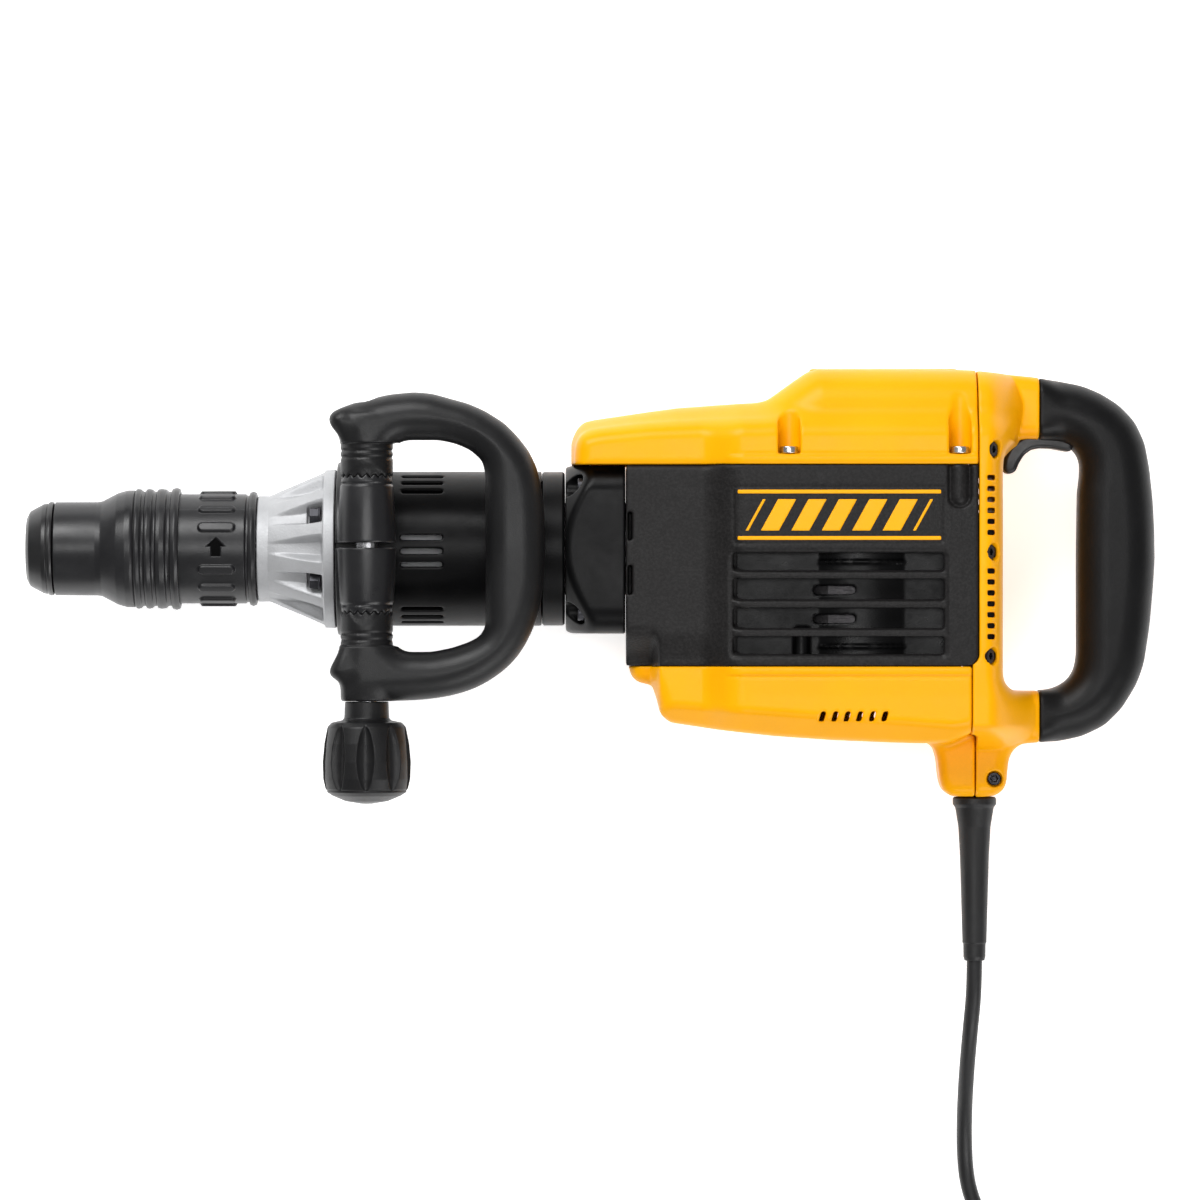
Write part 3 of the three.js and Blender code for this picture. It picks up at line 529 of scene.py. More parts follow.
# strain relief
prof = fillet([(-112, 7), (-136.2, 7.0), (-136.5, 11.2, 0), (-137.3, 12.0, 0.8), (-140.5, 12.0, 1.0), (-142.5, 10.6, 1.6), (-153, 8.9, 8), (-169, 8.0, 12), (-215, 6.7, 8),
               (-216.6, 6.7, 0.5), (-217.4, 6.2, 0.5), (-224.5, 6.1, 0.4), (-226.6, 5.5, 0.5), (-226.6, 4.5, 0), (-225, 4.35), (-112, 4.35)], 6)
relief = turned("strain_relief_sleeve", refine(prof, 3.0), "housing", RUBBER, "Y", (211.6, 0, 0), 96, replaces=("strain_relief",), slot="cord_rubber")

# plug: moulded body with grip ridges, two blades
g = Grid((PLUG_X - 17, PLUG_Y - 3, FLOOR), (PLUG_X + 17, PLUG_Y + 40, FLOOR + 24), 0.6)
P = soften([[PLUG_X - 8, PLUG_Y], [PLUG_X + 8, PLUG_Y], [PLUG_X + 10, PLUG_Y + 8], [PLUG_X + 14.5, PLUG_Y + 20], [PLUG_X + 15, PLUG_Y + 34], [PLUG_X - 15, PLUG_Y + 34], [PLUG_X - 14.5, PLUG_Y + 20],
            [PLUG_X - 10, PLUG_Y + 8]], 1.0, 0.7)
f = rint(poly2(P, g.x, g.y), np.abs(g.z - (FLOOR + 11.2)) - (10.7 - 0.12 * np.clip(PLUG_Y + 26 - g.y, 0, 40)), 4.0)
f = f + 0.45 * (1 + np.cos((g.y - PLUG_Y) * 2 * math.pi / 3.2)) * ss(PLUG_Y + 6, PLUG_Y + 9, g.y) * (1 - ss(PLUG_Y + 20, PLUG_Y + 23, g.y))
f = rcut(f, np.hypot(g.x - PLUG_X, g.z - (FLOOR + 11.2)) - 4.3 + 100 * (g.y > PLUG_Y + 12), 0.5)
plug = solid("plug_body", f, g, "housing", RUBBER, replaces=("plug",), slot="cord_rubber")
g = Grid((PLUG_X - 8, PLUG_Y + 31, FLOOR + 6), (PLUG_X + 8, PLUG_Y + 53, FLOOR + 16), 0.35)
f = 1e3
for s in (-1, 1):
    b = rint(rect2(g.y - (PLUG_Y + 42), g.z - (FLOOR + 11.2), 10, 3.2, 1.2), np.abs(g.x - PLUG_X - s * 6.35) - 0.78, 0.3)
    b = rcut(b, np.hypot(g.y - (PLUG_Y + 48.5), g.z - (FLOOR + 11.2)) - 1.5, 0.2)
    f = np.minimum(f, b)
blades = solid("plug_blades", f, g, "housing", ZINC, slot="zinc_fastener")

# ---- nose -----------------------------------------------------------------
cap = fillet([(-309.6, 11.5, 0), (-309.6, 17.2, 1.0), (-307.9, 20.6, 2.2), (-300.6, 24.6, 2.4), (-298.5, 25.0, 0.4), (-297.9, 24.6, 0.3), (-297.6, 25.5, 0.5), (-296.2, 25.9, 0.6), (-295.0, 25.6, 0.5),
              (-294.6, 24.0, 0.2), (-292.0, 20.9, 0.5), (-286, 20.9, 0.3), (-286, 18.3, 0), (-293.6, 18.3, 0), (-293.6, 10.3, 0.3), (-300, 10.3, 0.4), (-303.0, 12.8, 1.0), (-307.8, 11.0, 0.6)], 6)
turned("dust_cap_ring", refine(cap, 1.2), "chisel_holder", CAP, "X", n=192, replaces=("dust_cap",), slot="cap_rubber")
sl = [(-294.2, 24.9, 0), (-293.9, 25.7, 0.5), (-271, 25.75, 3), (-268.2, 26.2, 4), (-259.6, 30.7, 6), (-254.6, 32.15, 3), (-250.4, 32.2, 0)]
for a, b in ((-249.6, -246.2), (-243.9, -240.0), (-237.6, -232.4)):
    sl += [(a - 0.5, 31.5, 0.35), (a + 0.2, 32.7, 0.6), ((a + b) / 2 - 0.6, 33.1, 1.6), (b - 0.5, 32.7, 0.8), (b + 0.4, 31.7, 0.5), (b + 1.2, 31.5, 0.5)]
sl += [(-230.0, 31.5, 0.4), (-229.6, 32.9, 0.7), (-227.4, 33.7, 1.8), (-225.3, 33.0, 0.9), (-225.2, 31.3, 0.3), (-225.2, 31.0, 0), (-241.5, 30.9, 0), (-243, 26.2, 0), (-262, 25.9, 0), (-263, 21.5, 0), (-294.2, 21.4, 0)]
turned("lock_sleeve_body", refine(fillet(sl, 6), 1.5), "lock_sleeve", SATIN, "X", n=192, replaces=("lock_sleeve",), slot="sleeve_black")

ARROW = np.array([(-209.9, 1.0), (-204.6, 6.4), (-199.3, 1.0), (-201.9, 1.0), (-201.9, -4.5), (-207.3, -4.5), (-207.3, 1.0)])
co = [(-233.2, 21.6, 0), (-233.2, 30.1, 0.3), (-189.2, 30.2, 0.6), (-188.3, 29.4, 0.4), (-187.2, 29.4, 0.3), (-186.9, 30.9, 0.6), (-185.2, 31.6, 0.9), (-183.4, 30.9, 0.6), (-182.9, 29.6, 0), (-182.9, 21.6, 0)]
cp = fillet(co, 6)
out = np.array([p for p in cp if p[1] > 29])
ax = np.unique(np.round(np.concatenate([out[:, 0], np.arange(-219, -192, 0.33)]), 3))
cp = np.vstack([[-233.2, 21.6], np.stack([ax, np.interp(ax, out[:, 0], out[:, 1])], 1), [-182.9, 21.6]])


def collar_radius(a, th, r):
    t = (th + math.pi) % (2 * math.pi) - math.pi
    h = 0 * t
    for k in range(1, 16):
        u = (th - k * math.radians(22.5) + math.pi) % (2 * math.pi) - math.pi
        d = rect2(a + 204.3, u * 30.2, 9.9, 2.5, 2.45)
        h = np.maximum(h, 1.55 * ss(0.75, -0.75, d) * (d < 1) - 0.25 * ss(1.5, 0.4, d) * (d > 0.4) * (d < 1.5))
    d = poly2(ARROW, a, t * 30.2)
    h = h - 0.85 * ss(0.2, -0.35, np.where(np.abs(t) < 0.5, d, 9))
    return np.where((r > 29) & (a > -225) & (a < -190), r + h, r)


turned("indexing_collar_body", cp, "chisel_holder", SATIN, "X", n=900, radius=collar_radius, replaces=("indexing_collar",), slot="sleeve_black")

na = 150
tt = np.linspace(-0.30, 0.30, na)
aa = np.linspace(-211, -198, na)
A2, T2 = np.meshgrid(aa, tt, indexing="ij")
d = poly2(ARROW, A2, T2 * 30.2)
keep = (d < -0.3)
cell = keep[:-1, :-1] & keep[1:, :-1] & keep[:-1, 1:] & keep[1:, 1:]
number = np.full(keep.shape, -1)
used = np.zeros(keep.shape, bool)
for a_, b_ in ((0, 0), (1, 0), (0, 1), (1, 1)):
    used[a_:a_ + cell.shape[0], b_:b_ + cell.shape[1]] |= cell
number[used] = np.arange(used.sum())
top_v = np.stack([A2[used], 29.50 * np.sin(T2[used]), 29.50 * np.cos(T2[used])], 1)
low_v = np.stack([A2[used], 29.0 * np.sin(T2[used]), 29.0 * np.cos(T2[used])], 1)
ci, cj = np.nonzero(cell)
q = np.stack([number[ci, cj], number[ci + 1, cj], number[ci + 1, cj + 1], number[ci, cj + 1]], 1)
edges = {}
for quad in q:
    for u_, v_ in zip(quad, np.roll(quad, -1)):
        edges[(u_, v_)] = 1
rim = [(u_, v_) for (u_, v_) in edges if (v_, u_) not in edges]
m_ = len(top_v)
wall = np.array([(v_, u_, u_ + m_, v_ + m_) for u_, v_ in rim])
make("arrow_inlay", np.vstack([top_v, low_v]), [np.concatenate([q, q[:, ::-1] + m_, wall])], "chisel_holder", INK, slot="cap_rubber", smooth=False)
th_prof = fillet([(-293.1, 9.6, 0), (-293.1, 16.9, 0.8), (-292.0, 17.9, 0.5), (-262, 17.9, 0.3), (-261.6, 20.3, 0.4), (-234, 20.4, 0.5), (-232, 20.4, 0), (-156, 20.4, 0.3), (-155.6, 24.1, 0.4), (-150, 24.1, 0.6),
                  (-150, 13.4, 0.4), (-206, 13.4, 0.3), (-207.5, 9.2, 0.3), (-290.5, 9.2, 0.8)], 4)
TH_LO, TH_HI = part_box("tool_holder")

# nose housing: cone with a hollow every 30 degrees
SCREWS = [math.radians(a) for a in (30, 150, 210, 330)]
nh = [(-182.4, 26, 0), (-182.4, 28.6, 0.5), (-181.9, 29.1, 0.4), (-176.2, 29.1, 1.2), (-145.9, 42.6, 1.5), (-145.2, 43.4, 0.5), (-140.0, 43.6, 0.5), (-139.4, 43.0, 0), (-139.4, 26, 0)]
pn = fillet(nh, 6)
out = np.array([p for p in pn if p[1] > 27])
out = out[np.argsort(out[:, 0], kind="stable")]
ax = np.unique(np.round(np.concatenate([out[:, 0], np.arange(-177, -144, 0.4)]), 3))
pn = np.vstack([[-182.4, 26.0], np.stack([ax, np.interp(ax, out[:, 0], out[:, 1])], 1), [-139.4, 26.0]])


def nose_radius(a, th, r):
    R = r.copy()
    depth = 6.4 * ss(-178, -150, a) * ss(-145.6, -146.7, a)
    u = ((th + math.radians(15)) % math.radians(30)) - math.radians(15)
    half = math.radians(11.2) - math.radians(3.2) * ss(-150, -176, a)
    hollow = ss(1.0, 0.45, np.abs(u) / half)
    hollow = hollow * (0.82 + 0.18 * np.cos(u / half * math.pi / 2))
    R = R - depth * hollow
    for c in SCREWS:
        v = (th - c + math.pi) % (2 * math.pi) - math.pi
        d = rect2(a + 150.4, v * 36, 4.1, 5.3, 0.9)
        R = np.where(np.abs(v) < 0.6, R - (R - 29.6) * ss(0.25, -0.35, d), R)
    return np.where((r > 27) & (a > -180.5) & (a < -143), R, r)


turned("nose_casting", pn, "housing", ALU, "X", n=1080, radius=nose_radius, replaces=("nose_housing",), slot="nose_aluminium")


# ---- screws ---------------------------------------------------------------
def screw(name, centre, axis, R, h, kind, body, material, replaces, slot, sign=1, deep=None, lean=0.0):
    """A screw head whose outer face is at centre; kind is hex, socket, torx or cross."""
    H = 0.3
    pad = R + 0.6
    lo, hi = [-pad] * 3, [pad] * 3
    k = "XYZ".index(axis)
    lo[k], hi[k] = (-h - 0.5, 0.6) if sign > 0 else (-0.6, h + 0.5)
    gg = Grid(lo, hi, H)
    c = [gg.x, gg.y, gg.z]
    w = c[k] * sign
    u, v = c[(k + 1) % 3], c[(k + 2) % 3]
    rad = np.hypot(u, v)
    hexd = lambda q: np.maximum(np.abs(u), np.maximum(np.abs(u * 0.5 + v * 0.8660254), np.abs(u * 0.5 - v * 0.8660254))) - q
    side = hexd(R * 0.866) if kind == "hex" else rad - R
    F = rint(side, np.maximum(w, -w - h), 0.45)
    if kind == "hex":
        F = np.maximum(F, (rad + w * 1.6 - R * 0.98) * 0.55)
        F = np.minimum(F, rint(rad - R * 1.08, np.maximum(w + h - 1.0, -w - h), 0.3))
        F = rcut(F, np.maximum(rad - R * 0.42, -w - 0.45), 0.25)
    elif kind == "socket":
        F = rcut(F, np.maximum(hexd(R * 0.5), -w - (deep or h * 0.6)), 0.25)
    elif kind == "torx":
        ang = np.arctan2(v, u)
        F = np.maximum(F, (rad + w * 2.2 - R * 1.0) * 0.42)
        F = rcut(F, np.maximum(rad - R * (0.46 + 0.09 * np.cos(6 * ang)), -w - (deep or h * 0.6)), 0.25)
    else:
        cross = np.minimum(np.maximum(np.abs(u) - 0.5, np.abs(v) - R * 0.62), np.maximum(np.abs(v) - 0.5, np.abs(u) - R * 0.62))
        F = rcut(F, np.maximum(cross, -w - h * 0.5), 0.2)
    vv, q = nets(F, gg)
    vv = vv @ np.array([[math.cos(lean), 0, -math.sin(lean)], [0, 1, 0], [math.sin(lean), 0, math.cos(lean)]])
    return make(name, vv + np.array(centre), [q], body, material, replaces=replaces, slot=slot)


for i, a in enumerate((30, 150, 210, 330)):
    node = f"nose_screw_{i + 1}"
    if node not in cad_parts:
        node = sorted(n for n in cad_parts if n.startswith("nose_screw"))[i]
    screw(f"nose_hex_{i + 1}", (-153.2, 35.4 * math.sin(math.radians(a)), 35.4 * math.cos(math.radians(a))), "X", 4.7, 6.0, "hex", "housing", PLATED, (node,), "zinc_fastener", sign=-1)

# ---- barrel ---------------------------------------------------------------
g = Grid((-139.5, -43, -43), (-26, 43, 43), 0.8)
rad = np.hypot(g.y, g.z)
f = rint(np.abs(rad - 40.5) - 1.9, np.maximum(-139.1 - g.x, g.x + 26.6), 0.5)
for k in range(6):
    for off in (-9.2, -1.6, 6.2):
        a = math.radians(60 * k) + off / 42.4
        tang = g.y * math.cos(a) - g.z * math.sin(a)
        outw = g.y * math.sin(a) + g.z * math.cos(a)
        slotd = rect2(g.x + 91.8, tang, 11.4, 1.5, 1.4)
        f = rcut(f, np.maximum(slotd, 30 - outw), 0.5)
solid("barrel_tube", f, g, "housing", PAINTED, replaces=("barrel_sleeve",), slot="black_shell")
bc = fillet([(-26.3, 38.6, 0), (-26.3, 41.2, 0.4), (-25.5, 42.3, 0.6), (-15.0, 42.3, 0.6), (-13.9, 41.3, 0.4), (-13.8, 38.6, 0)], 6)
turned("barrel_ring", refine(bc, 1.5), "housing", PAINTED, "X", n=192, replaces=("barrel_collar",), slot="black_shell")

# ---- gearcase front -------------------------------------------------------
g = Grid((-14, -47.5, -47), (20, 46, 47), 0.8)
rad = np.hypot(g.y, g.z)
yy = g.y + 0.6
f2 = rect2(yy, g.z, 46, 46, 15)
cone = (rad - (45.2 + (g.x + 13.4) * 1.02)) * 0.70
f = rint(f2, cone, 2.2)
f = rint(f, np.maximum(-13.4 - g.x, g.x - 19.3), 0.7)
f = rcut(f, rad - 26.3, 0.5)
f = rcut(f, np.maximum(g.y * 0 + 45.2 - g.y, -9 - g.x) , 0.4)
for sy in (1, -1):
    for sz in (1, -1):
        d = np.hypot(yy - sy * 34.5, g.z - sz * 34.5)
        f = rcut(f, np.maximum(d - 5.9, g.x + 0.5), 0.8)
solid("gearcase_casting", f, g, "housing", PAINTED, replaces=("gearcase_front",), slot="black_shell")
n = 1
for sy, sz in ((1, 1), (-1, 1), (1, -1), (-1, -1)):
    screw(f"gearcase_bolt_{n}", (-6.6, sy * 34.5 - 0.6, sz * 34.5), "X", 4.4, 5.8, "socket", "housing", PLATED, (f"gearcase_screw_{n}",), "zinc_fastener", sign=-1)
    n += 1

# ---- housings -------------------------------------------------------------
BODY = [[-8.5, 46.9], [-7.7, 58.2], [-5.5, 65.6], [-2.8, 68.7], [0.8, 69.5], [32.8, 74.7], [47.4, 76.9], [65.5, 78.2], [91.2, 79.6], [96.7, 80.9], [102.2, 84.8], [111.2, 91.3], [118.4, 96.2], [124.4, 98.2],
        [201.0, 97.7], [232, 96.2], [232, -97.6], [207.5, -100.5], [196, -105.9], [181.1, -106.4], [163.5, -105.9], [132.1, -104.6], [100.2, -102.4], [68.8, -98.9], [43.5, -95.1], [38.5, -90.7], [37.1, -84.1],
        [34.1, -75.0], [25.9, -73.0], [22.6, -69.9], [19.8, -60], [5, -50], [5, 30], [-8.5, 30]]
BOSS = [[184, -98], [188.4, -108.5], [190.5, -115.2], [191.6, -126.3], [193.3, -132.3], [197.7, -135.9], [232, -136.2], [232, -98]]
BODY_S = soften(BODY, 1.5, 1.0, sharp=[(124.4, 98.2, 2.5)])
BOSS_S = soften(BOSS, 1.6, 1.0)


def width(g):
    """Half width of the housings over the side view."""
    w = 49 + 9.4 * ss(60, 84, g.x)
    w = w - 0.9 * (np.clip(g.y - 10, -90, 90) / 80) ** 2 * ss(70, 90, g.x)
    low = ss(-42, -63, g.y) * (1 - ss(32.6, 38.6, g.x))
    w = w - low * 15
    under = ss(-45, -62, g.y) * (1 - ss(60, 76, g.x))
    return w - under * 2.5


SEAM = 210.9                # rear seam of the housings


def rear_edge(y):
    """Front edge of the rear housing: round the motor housing's lower corner, then a small jog above the boss."""
    t = np.clip((-57.5 - y) / 6.5, 0, 1)
    drop = np.minimum(6.5 * (1 - np.sqrt(1 - t * t)), 3.6)
    return SEAM + 0.5 - drop * (1 - ss(-101.2, -102.6, y))


def shell(g, r, wall):
    s = poly2(BODY_S, g.x, g.y)
    w = width(g)
    f = rint(s, np.abs(g.z) - w, r)
    cav = np.maximum(s + wall, np.abs(g.z) - np.minimum(43, w - 4.6))
    wide = np.maximum(np.maximum(s + wall, np.abs(g.z) - 53), np.maximum(73 - g.x, (np.abs(g.z) - 43 - (g.x - 73) * 0.9) * 0.74))
    cav = np.minimum(cav, wide)
    cav = np.minimum(cav, box3(g, 205, 245, -95, 88, -40, 40))
    cav = np.minimum(cav, np.maximum(np.hypot(g.y, g.z) - 26, np.maximum(15 - g.x, g.x - 40)))
    return s, f, cav


def groove(f, g, d, half, depth):
    """A shallow line pressed into a side face: d is the distance from the line in the side view."""
    return f + depth * ss(half + 0.55, half - 0.35, np.abs(d)) * (np.abs(g.z) > 38)


# motor housing
g = Grid((19.5, -64.5, -59.5), (212.6, 45.6, 59.5), 0.95)
s, f, cav = shell(g, 13.0, 4.0)
f = np.abs(g.z) - width(g) + 0 * g.y
round_top = rint(g.y - 46.6, f, 5.5)
f = round_top * (1 - ss(62, 74, g.x)) + f * ss(62, 74, g.x)
# panel for the plate and the frame round the vents, both a little proud
plate = rect2(g.x - 135.4, g.y - 18.0, 57.2, 15.3, 2.0)
f = groove(f, g, plate, 0.35, 0.7)
vent = rect2(g.x - 135.0, g.y + 30.6, 58.8, 28.9, 3.0)
f = f + 0.9 * ss(0.7, -0.7, vent) * (np.abs(g.z) > 40)
f = groove(f, g, vent - 0.2, 0.3, 0.4)
# upright boss at the rear upper corner
boss = rect2(g.x - 200.8, g.y - 38.4, 6.5, 16.6, 6.3)
f = f + 2.4 * ss(0.5, -0.9, boss) * (np.abs(g.z) > 40)
dome = np.sqrt((g.x - 200.8) ** 2 + np.minimum(g.y - 27.8, 0) ** 2 + (np.abs(g.z) - width(g) + 4.9) ** 2) - 5.4
f = rjoin(f, dome, 0.5)
# body cut by its seams; the hollow runs through them, and keeps its distance from the outer skin only
skin = f
f = rint(f, 19.8 - g.x, 0.8)
f = rint(f, rint(g.x - SEAM, -64.05 - g.y, 6.5), 0.7)
f = rint(f, g.y - 45.35, 0.7)
cav = np.maximum(cav, np.minimum(27.5 - g.x, np.abs(g.z) - 31))  # solid behind the two slots at the front seam
f = np.maximum(f, -np.maximum(cav, skin + 3.4))
for y0, y1 in ((-13, -2.7), (-28.8, -16.7), (-44.4, -32.7), (-58.5, -48.3)):
    tilt = (g.y - (y0 + y1) / 2) + (np.abs(g.z) - 57) * 0.35
    op = np.maximum(rect2(g.x - 135.0, tilt, 57.3, (y1 - y0) / 2, 1.6), 50 - np.abs(g.z))
    f = rcut(f, op, 0.7)
for y0, y1 in ((4.2, 20), (-25.5, -9)):
    f = rcut(f, np.maximum(rect2(g.x - 21.8, g.y - (y0 + y1) / 2, 1.3, (y1 - y0) / 2, 1.2), 33 - np.abs(g.z)), 0.3)
solid("motor_shell", f, g, "housing", BLACK, replaces=("motor_housing",), slot="black_shell")

# field case and air guide behind the vents, in a near-black darker than the housing black: their own black plastic plus
# painted shade for the inside of the housing
g = Grid((74, -62.5, -51.5), (207, 21, 51.5), 1.0)
axis = np.hypot(g.x - 147.75, g.z)
f = rint(np.abs(axis - 49.6) - 1.1, np.maximum(20 - g.y, g.y + 62) * 0 + np.maximum(g.y - 19.5, -61.5 - g.y), 0.8)
f = np.minimum(f, rint(rect2(g.x - 140, g.y + 21, 63.5, 40.3, 2), np.abs(np.abs(g.z) - 44.2) - 1.0, 0.5) + 90 * (axis < 47.5))
for yc in (-22.8, -38.5):
    f = rcut(f, np.maximum(rect2(g.x - 133, g.y - yc, 11.2, 2.2, 2.1), 40 - np.abs(g.z)), 0.5)
for yc in (-7.5, -30.6, -53.4):
    f = np.minimum(f, rint(np.abs(axis - 50.7) - 0.6, np.abs(g.y - yc) - 0.9, 0.4))
f = rjoin(f, rint(np.hypot(g.x - 115.1, np.abs(g.z) - 46.8) - 4.1, np.maximum(g.y + 43, -61.5 - g.y), 0.8), 1.2)
solid("field_case", f, g, "housing", CASE_BLACK_WITH_PAINTED_SHADE, slot="black_shell")

# top cover
g = Grid((-9, 45.3, -59.5), (212.6, 98.6, 59.5), 0.95)
s, f, cav = shell(g, 13.0, 9.0)
w = width(g)
SHOULDER = soften([[-8.5, 40], [-8.5, 46.9], [-7.9, 56], [-5.9, 61.2], [-2, 63.6], [6, 65.2], [32.8, 67.8], [66, 68.9], [100, 69.4], [150, 69.6], [232, 69.6], [232, 40]], 2.0, 1.0)
low = rint(poly2(SHOULDER, g.x, g.y), np.abs(g.z) - w, 9.5)
high = rint(s, np.abs(g.z) - (w - 8.5), 22.0)
f = rjoin(low, high, 9.0)
# lip along the seam, pocket wall thinning and the cap plate on the hump
f = f - 0.8 * ss(50.9, 49.6, g.y) * ss(72, 78, g.x) * (np.abs(g.z) > 40)
f = groove(f, g, (g.y - 51.2) + 90 * (g.x < 77), 0.35, 0.5)
hump = rect2(g.x - 160.8, g.z, 40.5, 24, 5)
f = np.minimum(f, rint(np.maximum(hump, 80 - g.y) + 0 * g.x, g.y - 98.3, 0.9))
f = f + 0.9 * ss(1.1, 0.2, np.abs(hump - 0.6)) * (g.y > 93)
skin = f
f = rint(f, 45.65 - g.y, 0.7)
f = rint(f, g.x - SEAM, 0.8)
for x in (108.2, 201.0):
    cav = np.maximum(cav, 8.6 - np.hypot(g.x - x, np.abs(g.z) - 53.5))
f = np.maximum(f, -np.maximum(cav, skin + 3.4))
for x in (108.2, 201.0):
    for sz in (1, -1):
        d = np.hypot(g.x - x, g.z - sz * 53.5)
        chan = np.maximum(np.abs(g.x - x) - 6.0, 53.5 - sz * g.z)
        f = rcut(f, np.maximum(np.minimum(d - 6.0, chan), 51.3 - g.y), 1.0)
solid("top_shell", f, g, "housing", YELLOW, replaces=("top_cover",), slot="yellow_shell")

# bottom cover
g = Grid((20.5, -136.8, -59.5), (212.5, -63.9, 59.5), 0.95)
s, f, cav = shell(g, 13.0, 9.0)
w = width(g)
f = rint(s, np.abs(g.z) - w, 9.0)
crease = (np.abs(g.z) - w) * 0.64 - (g.y + 85.2 + (np.clip(g.x, 30, 196) - 38) * 0.0728) * 0.77
f = rint(f, crease, 2.2)
f = f - 0.8 * ss(-69.6, -68.2, g.y) * ss(72, 78, g.x) * (np.abs(g.z) > 40)
f = groove(f, g, (g.y + 69.6) + 90 * (g.x < 74), 0.35, 0.5)
bs = rint(poly2(BOSS_S, g.x, g.y), np.abs(g.z) - 19.5, 6.0)
f = rjoin(f, bs, 5.0)
skin = f
f = rint(f, g.y + 64.35, 0.7)
f = rint(f, g.x - (rear_edge(g.y) - 0.5), 0.8)
f = rint(f, 20.8 - g.x, 0.6)
f = np.maximum(f, -np.maximum(cav, skin + 3.4))
f = np.maximum(f, -np.maximum(box3(g, 196, 216, -132, -90, -13, 13), -1e3))
f = rcut(f, np.maximum(np.hypot(g.x - 211.6, g.z) - 7.4, g.y + 100), 0.4)
for xc in (126.3, 133.1, 139.7, 146.5, 153.4, 160.1):
    tilt = (g.x - xc) - (g.y + 91.4) * 0.28
    f = rcut(f, np.maximum(rect2(tilt, g.y + 91.4, 1.4, 2.7, 0.6), 41 - np.abs(g.z)), 0.4)
solid("bottom_shell", f, g, "housing", YELLOW, replaces=("bottom_cover",), slot="yellow_shell")
for i, (x, sz) in enumerate(((108.2, 1), (201.0, 1), (108.2, -1), (201.0, -1))):
    screw(f"cover_bolt_{i + 1}", (x, 55.2, sz * 53.5), "Y", 4.9, 3.7, "torx", "housing", ZINC, (f"cover_screw_{i + 1}",), "zinc_fastener", sign=1)

# rear housing and grip
REAR = [[180, 98.2], [201.0, 97.7], [212.5, 96.9], [227.4, 95.6], [240, 94.4], [253, 92.8], [253, 59.6], [240.7, 60.3], [235.7, 59.9], [230.5, 57.2], [227.4, 54.0], [225.6, 49.5], [225.1, 43.9], [225.1, -69.2], [226.1, -73.2],
        [229.2, -76.6], [232.9, -78.2], [253, -78.0], [253, -106.0], [239, -106.9], [235.7, -107.5], [231.5, -111.4], [229.6, -116.3], [228.5, -129.0], [226.6, -132.9], [221.7, -135.9], [213.1, -136.3], [180, -136.3]]
GRIPO = [[236, 94.6], [247, 93.5], [256.0, 92.3], [270.3, 89.6], [280.8, 85.3], [291.0, 78.8], [299.5, 69.9], [305.0, 58.2], [307.6, 43.9], [309.4, 26.8], [310.3, 10], [310.5, -6.2], [309.7, -19.4], [307.8, -41.5], [304.5, -63.3],
         [300.5, -74.5], [292.4, -87.7], [283.0, -97.1], [270.6, -103.1], [257.5, -105.9], [246.1, -106.4], [236, -106.7], [236, -78.2], [245.0, -78.0], [251.1, -77.5], [256.6, -76.1], [262.6, -72.3], [266.2, -66.8], [267.6, -59.1],
         [267.6, -4.0], [268.1, 30.7], [269.2, 38.9], [269.6, 46.1], [268.5, 50.5], [265.0, 55.2], [258, 58.2], [247.0, 59.9], [236, 60.2]]
REAR_S, GRIP_S = soften(REAR, 1.8, 1.0), soften(GRIPO, 2.6, 1.0)
REAR_SCREWS = [(219.6, 53.6), (218.2, -2.1), (217.9, -58.7)]
LEAN = math.radians(58)
VENTS_Y = [(548.7 - (479.2 + 10.82 * i)) * 0.5506 for i in range(6)] + [(548.7 - (571.3 + 10.8 * i)) * 0.5506 for i in range(7)]


def rear_width(g):
    w = 59 - 38 * ss(216, 247.5, g.x)
    w = w - 0.9 * (np.clip(g.y - 10, -90, 90) / 80) ** 2
    low = ss(-96, -112, g.y)
    return w * (1 - low) + 19.5 * low


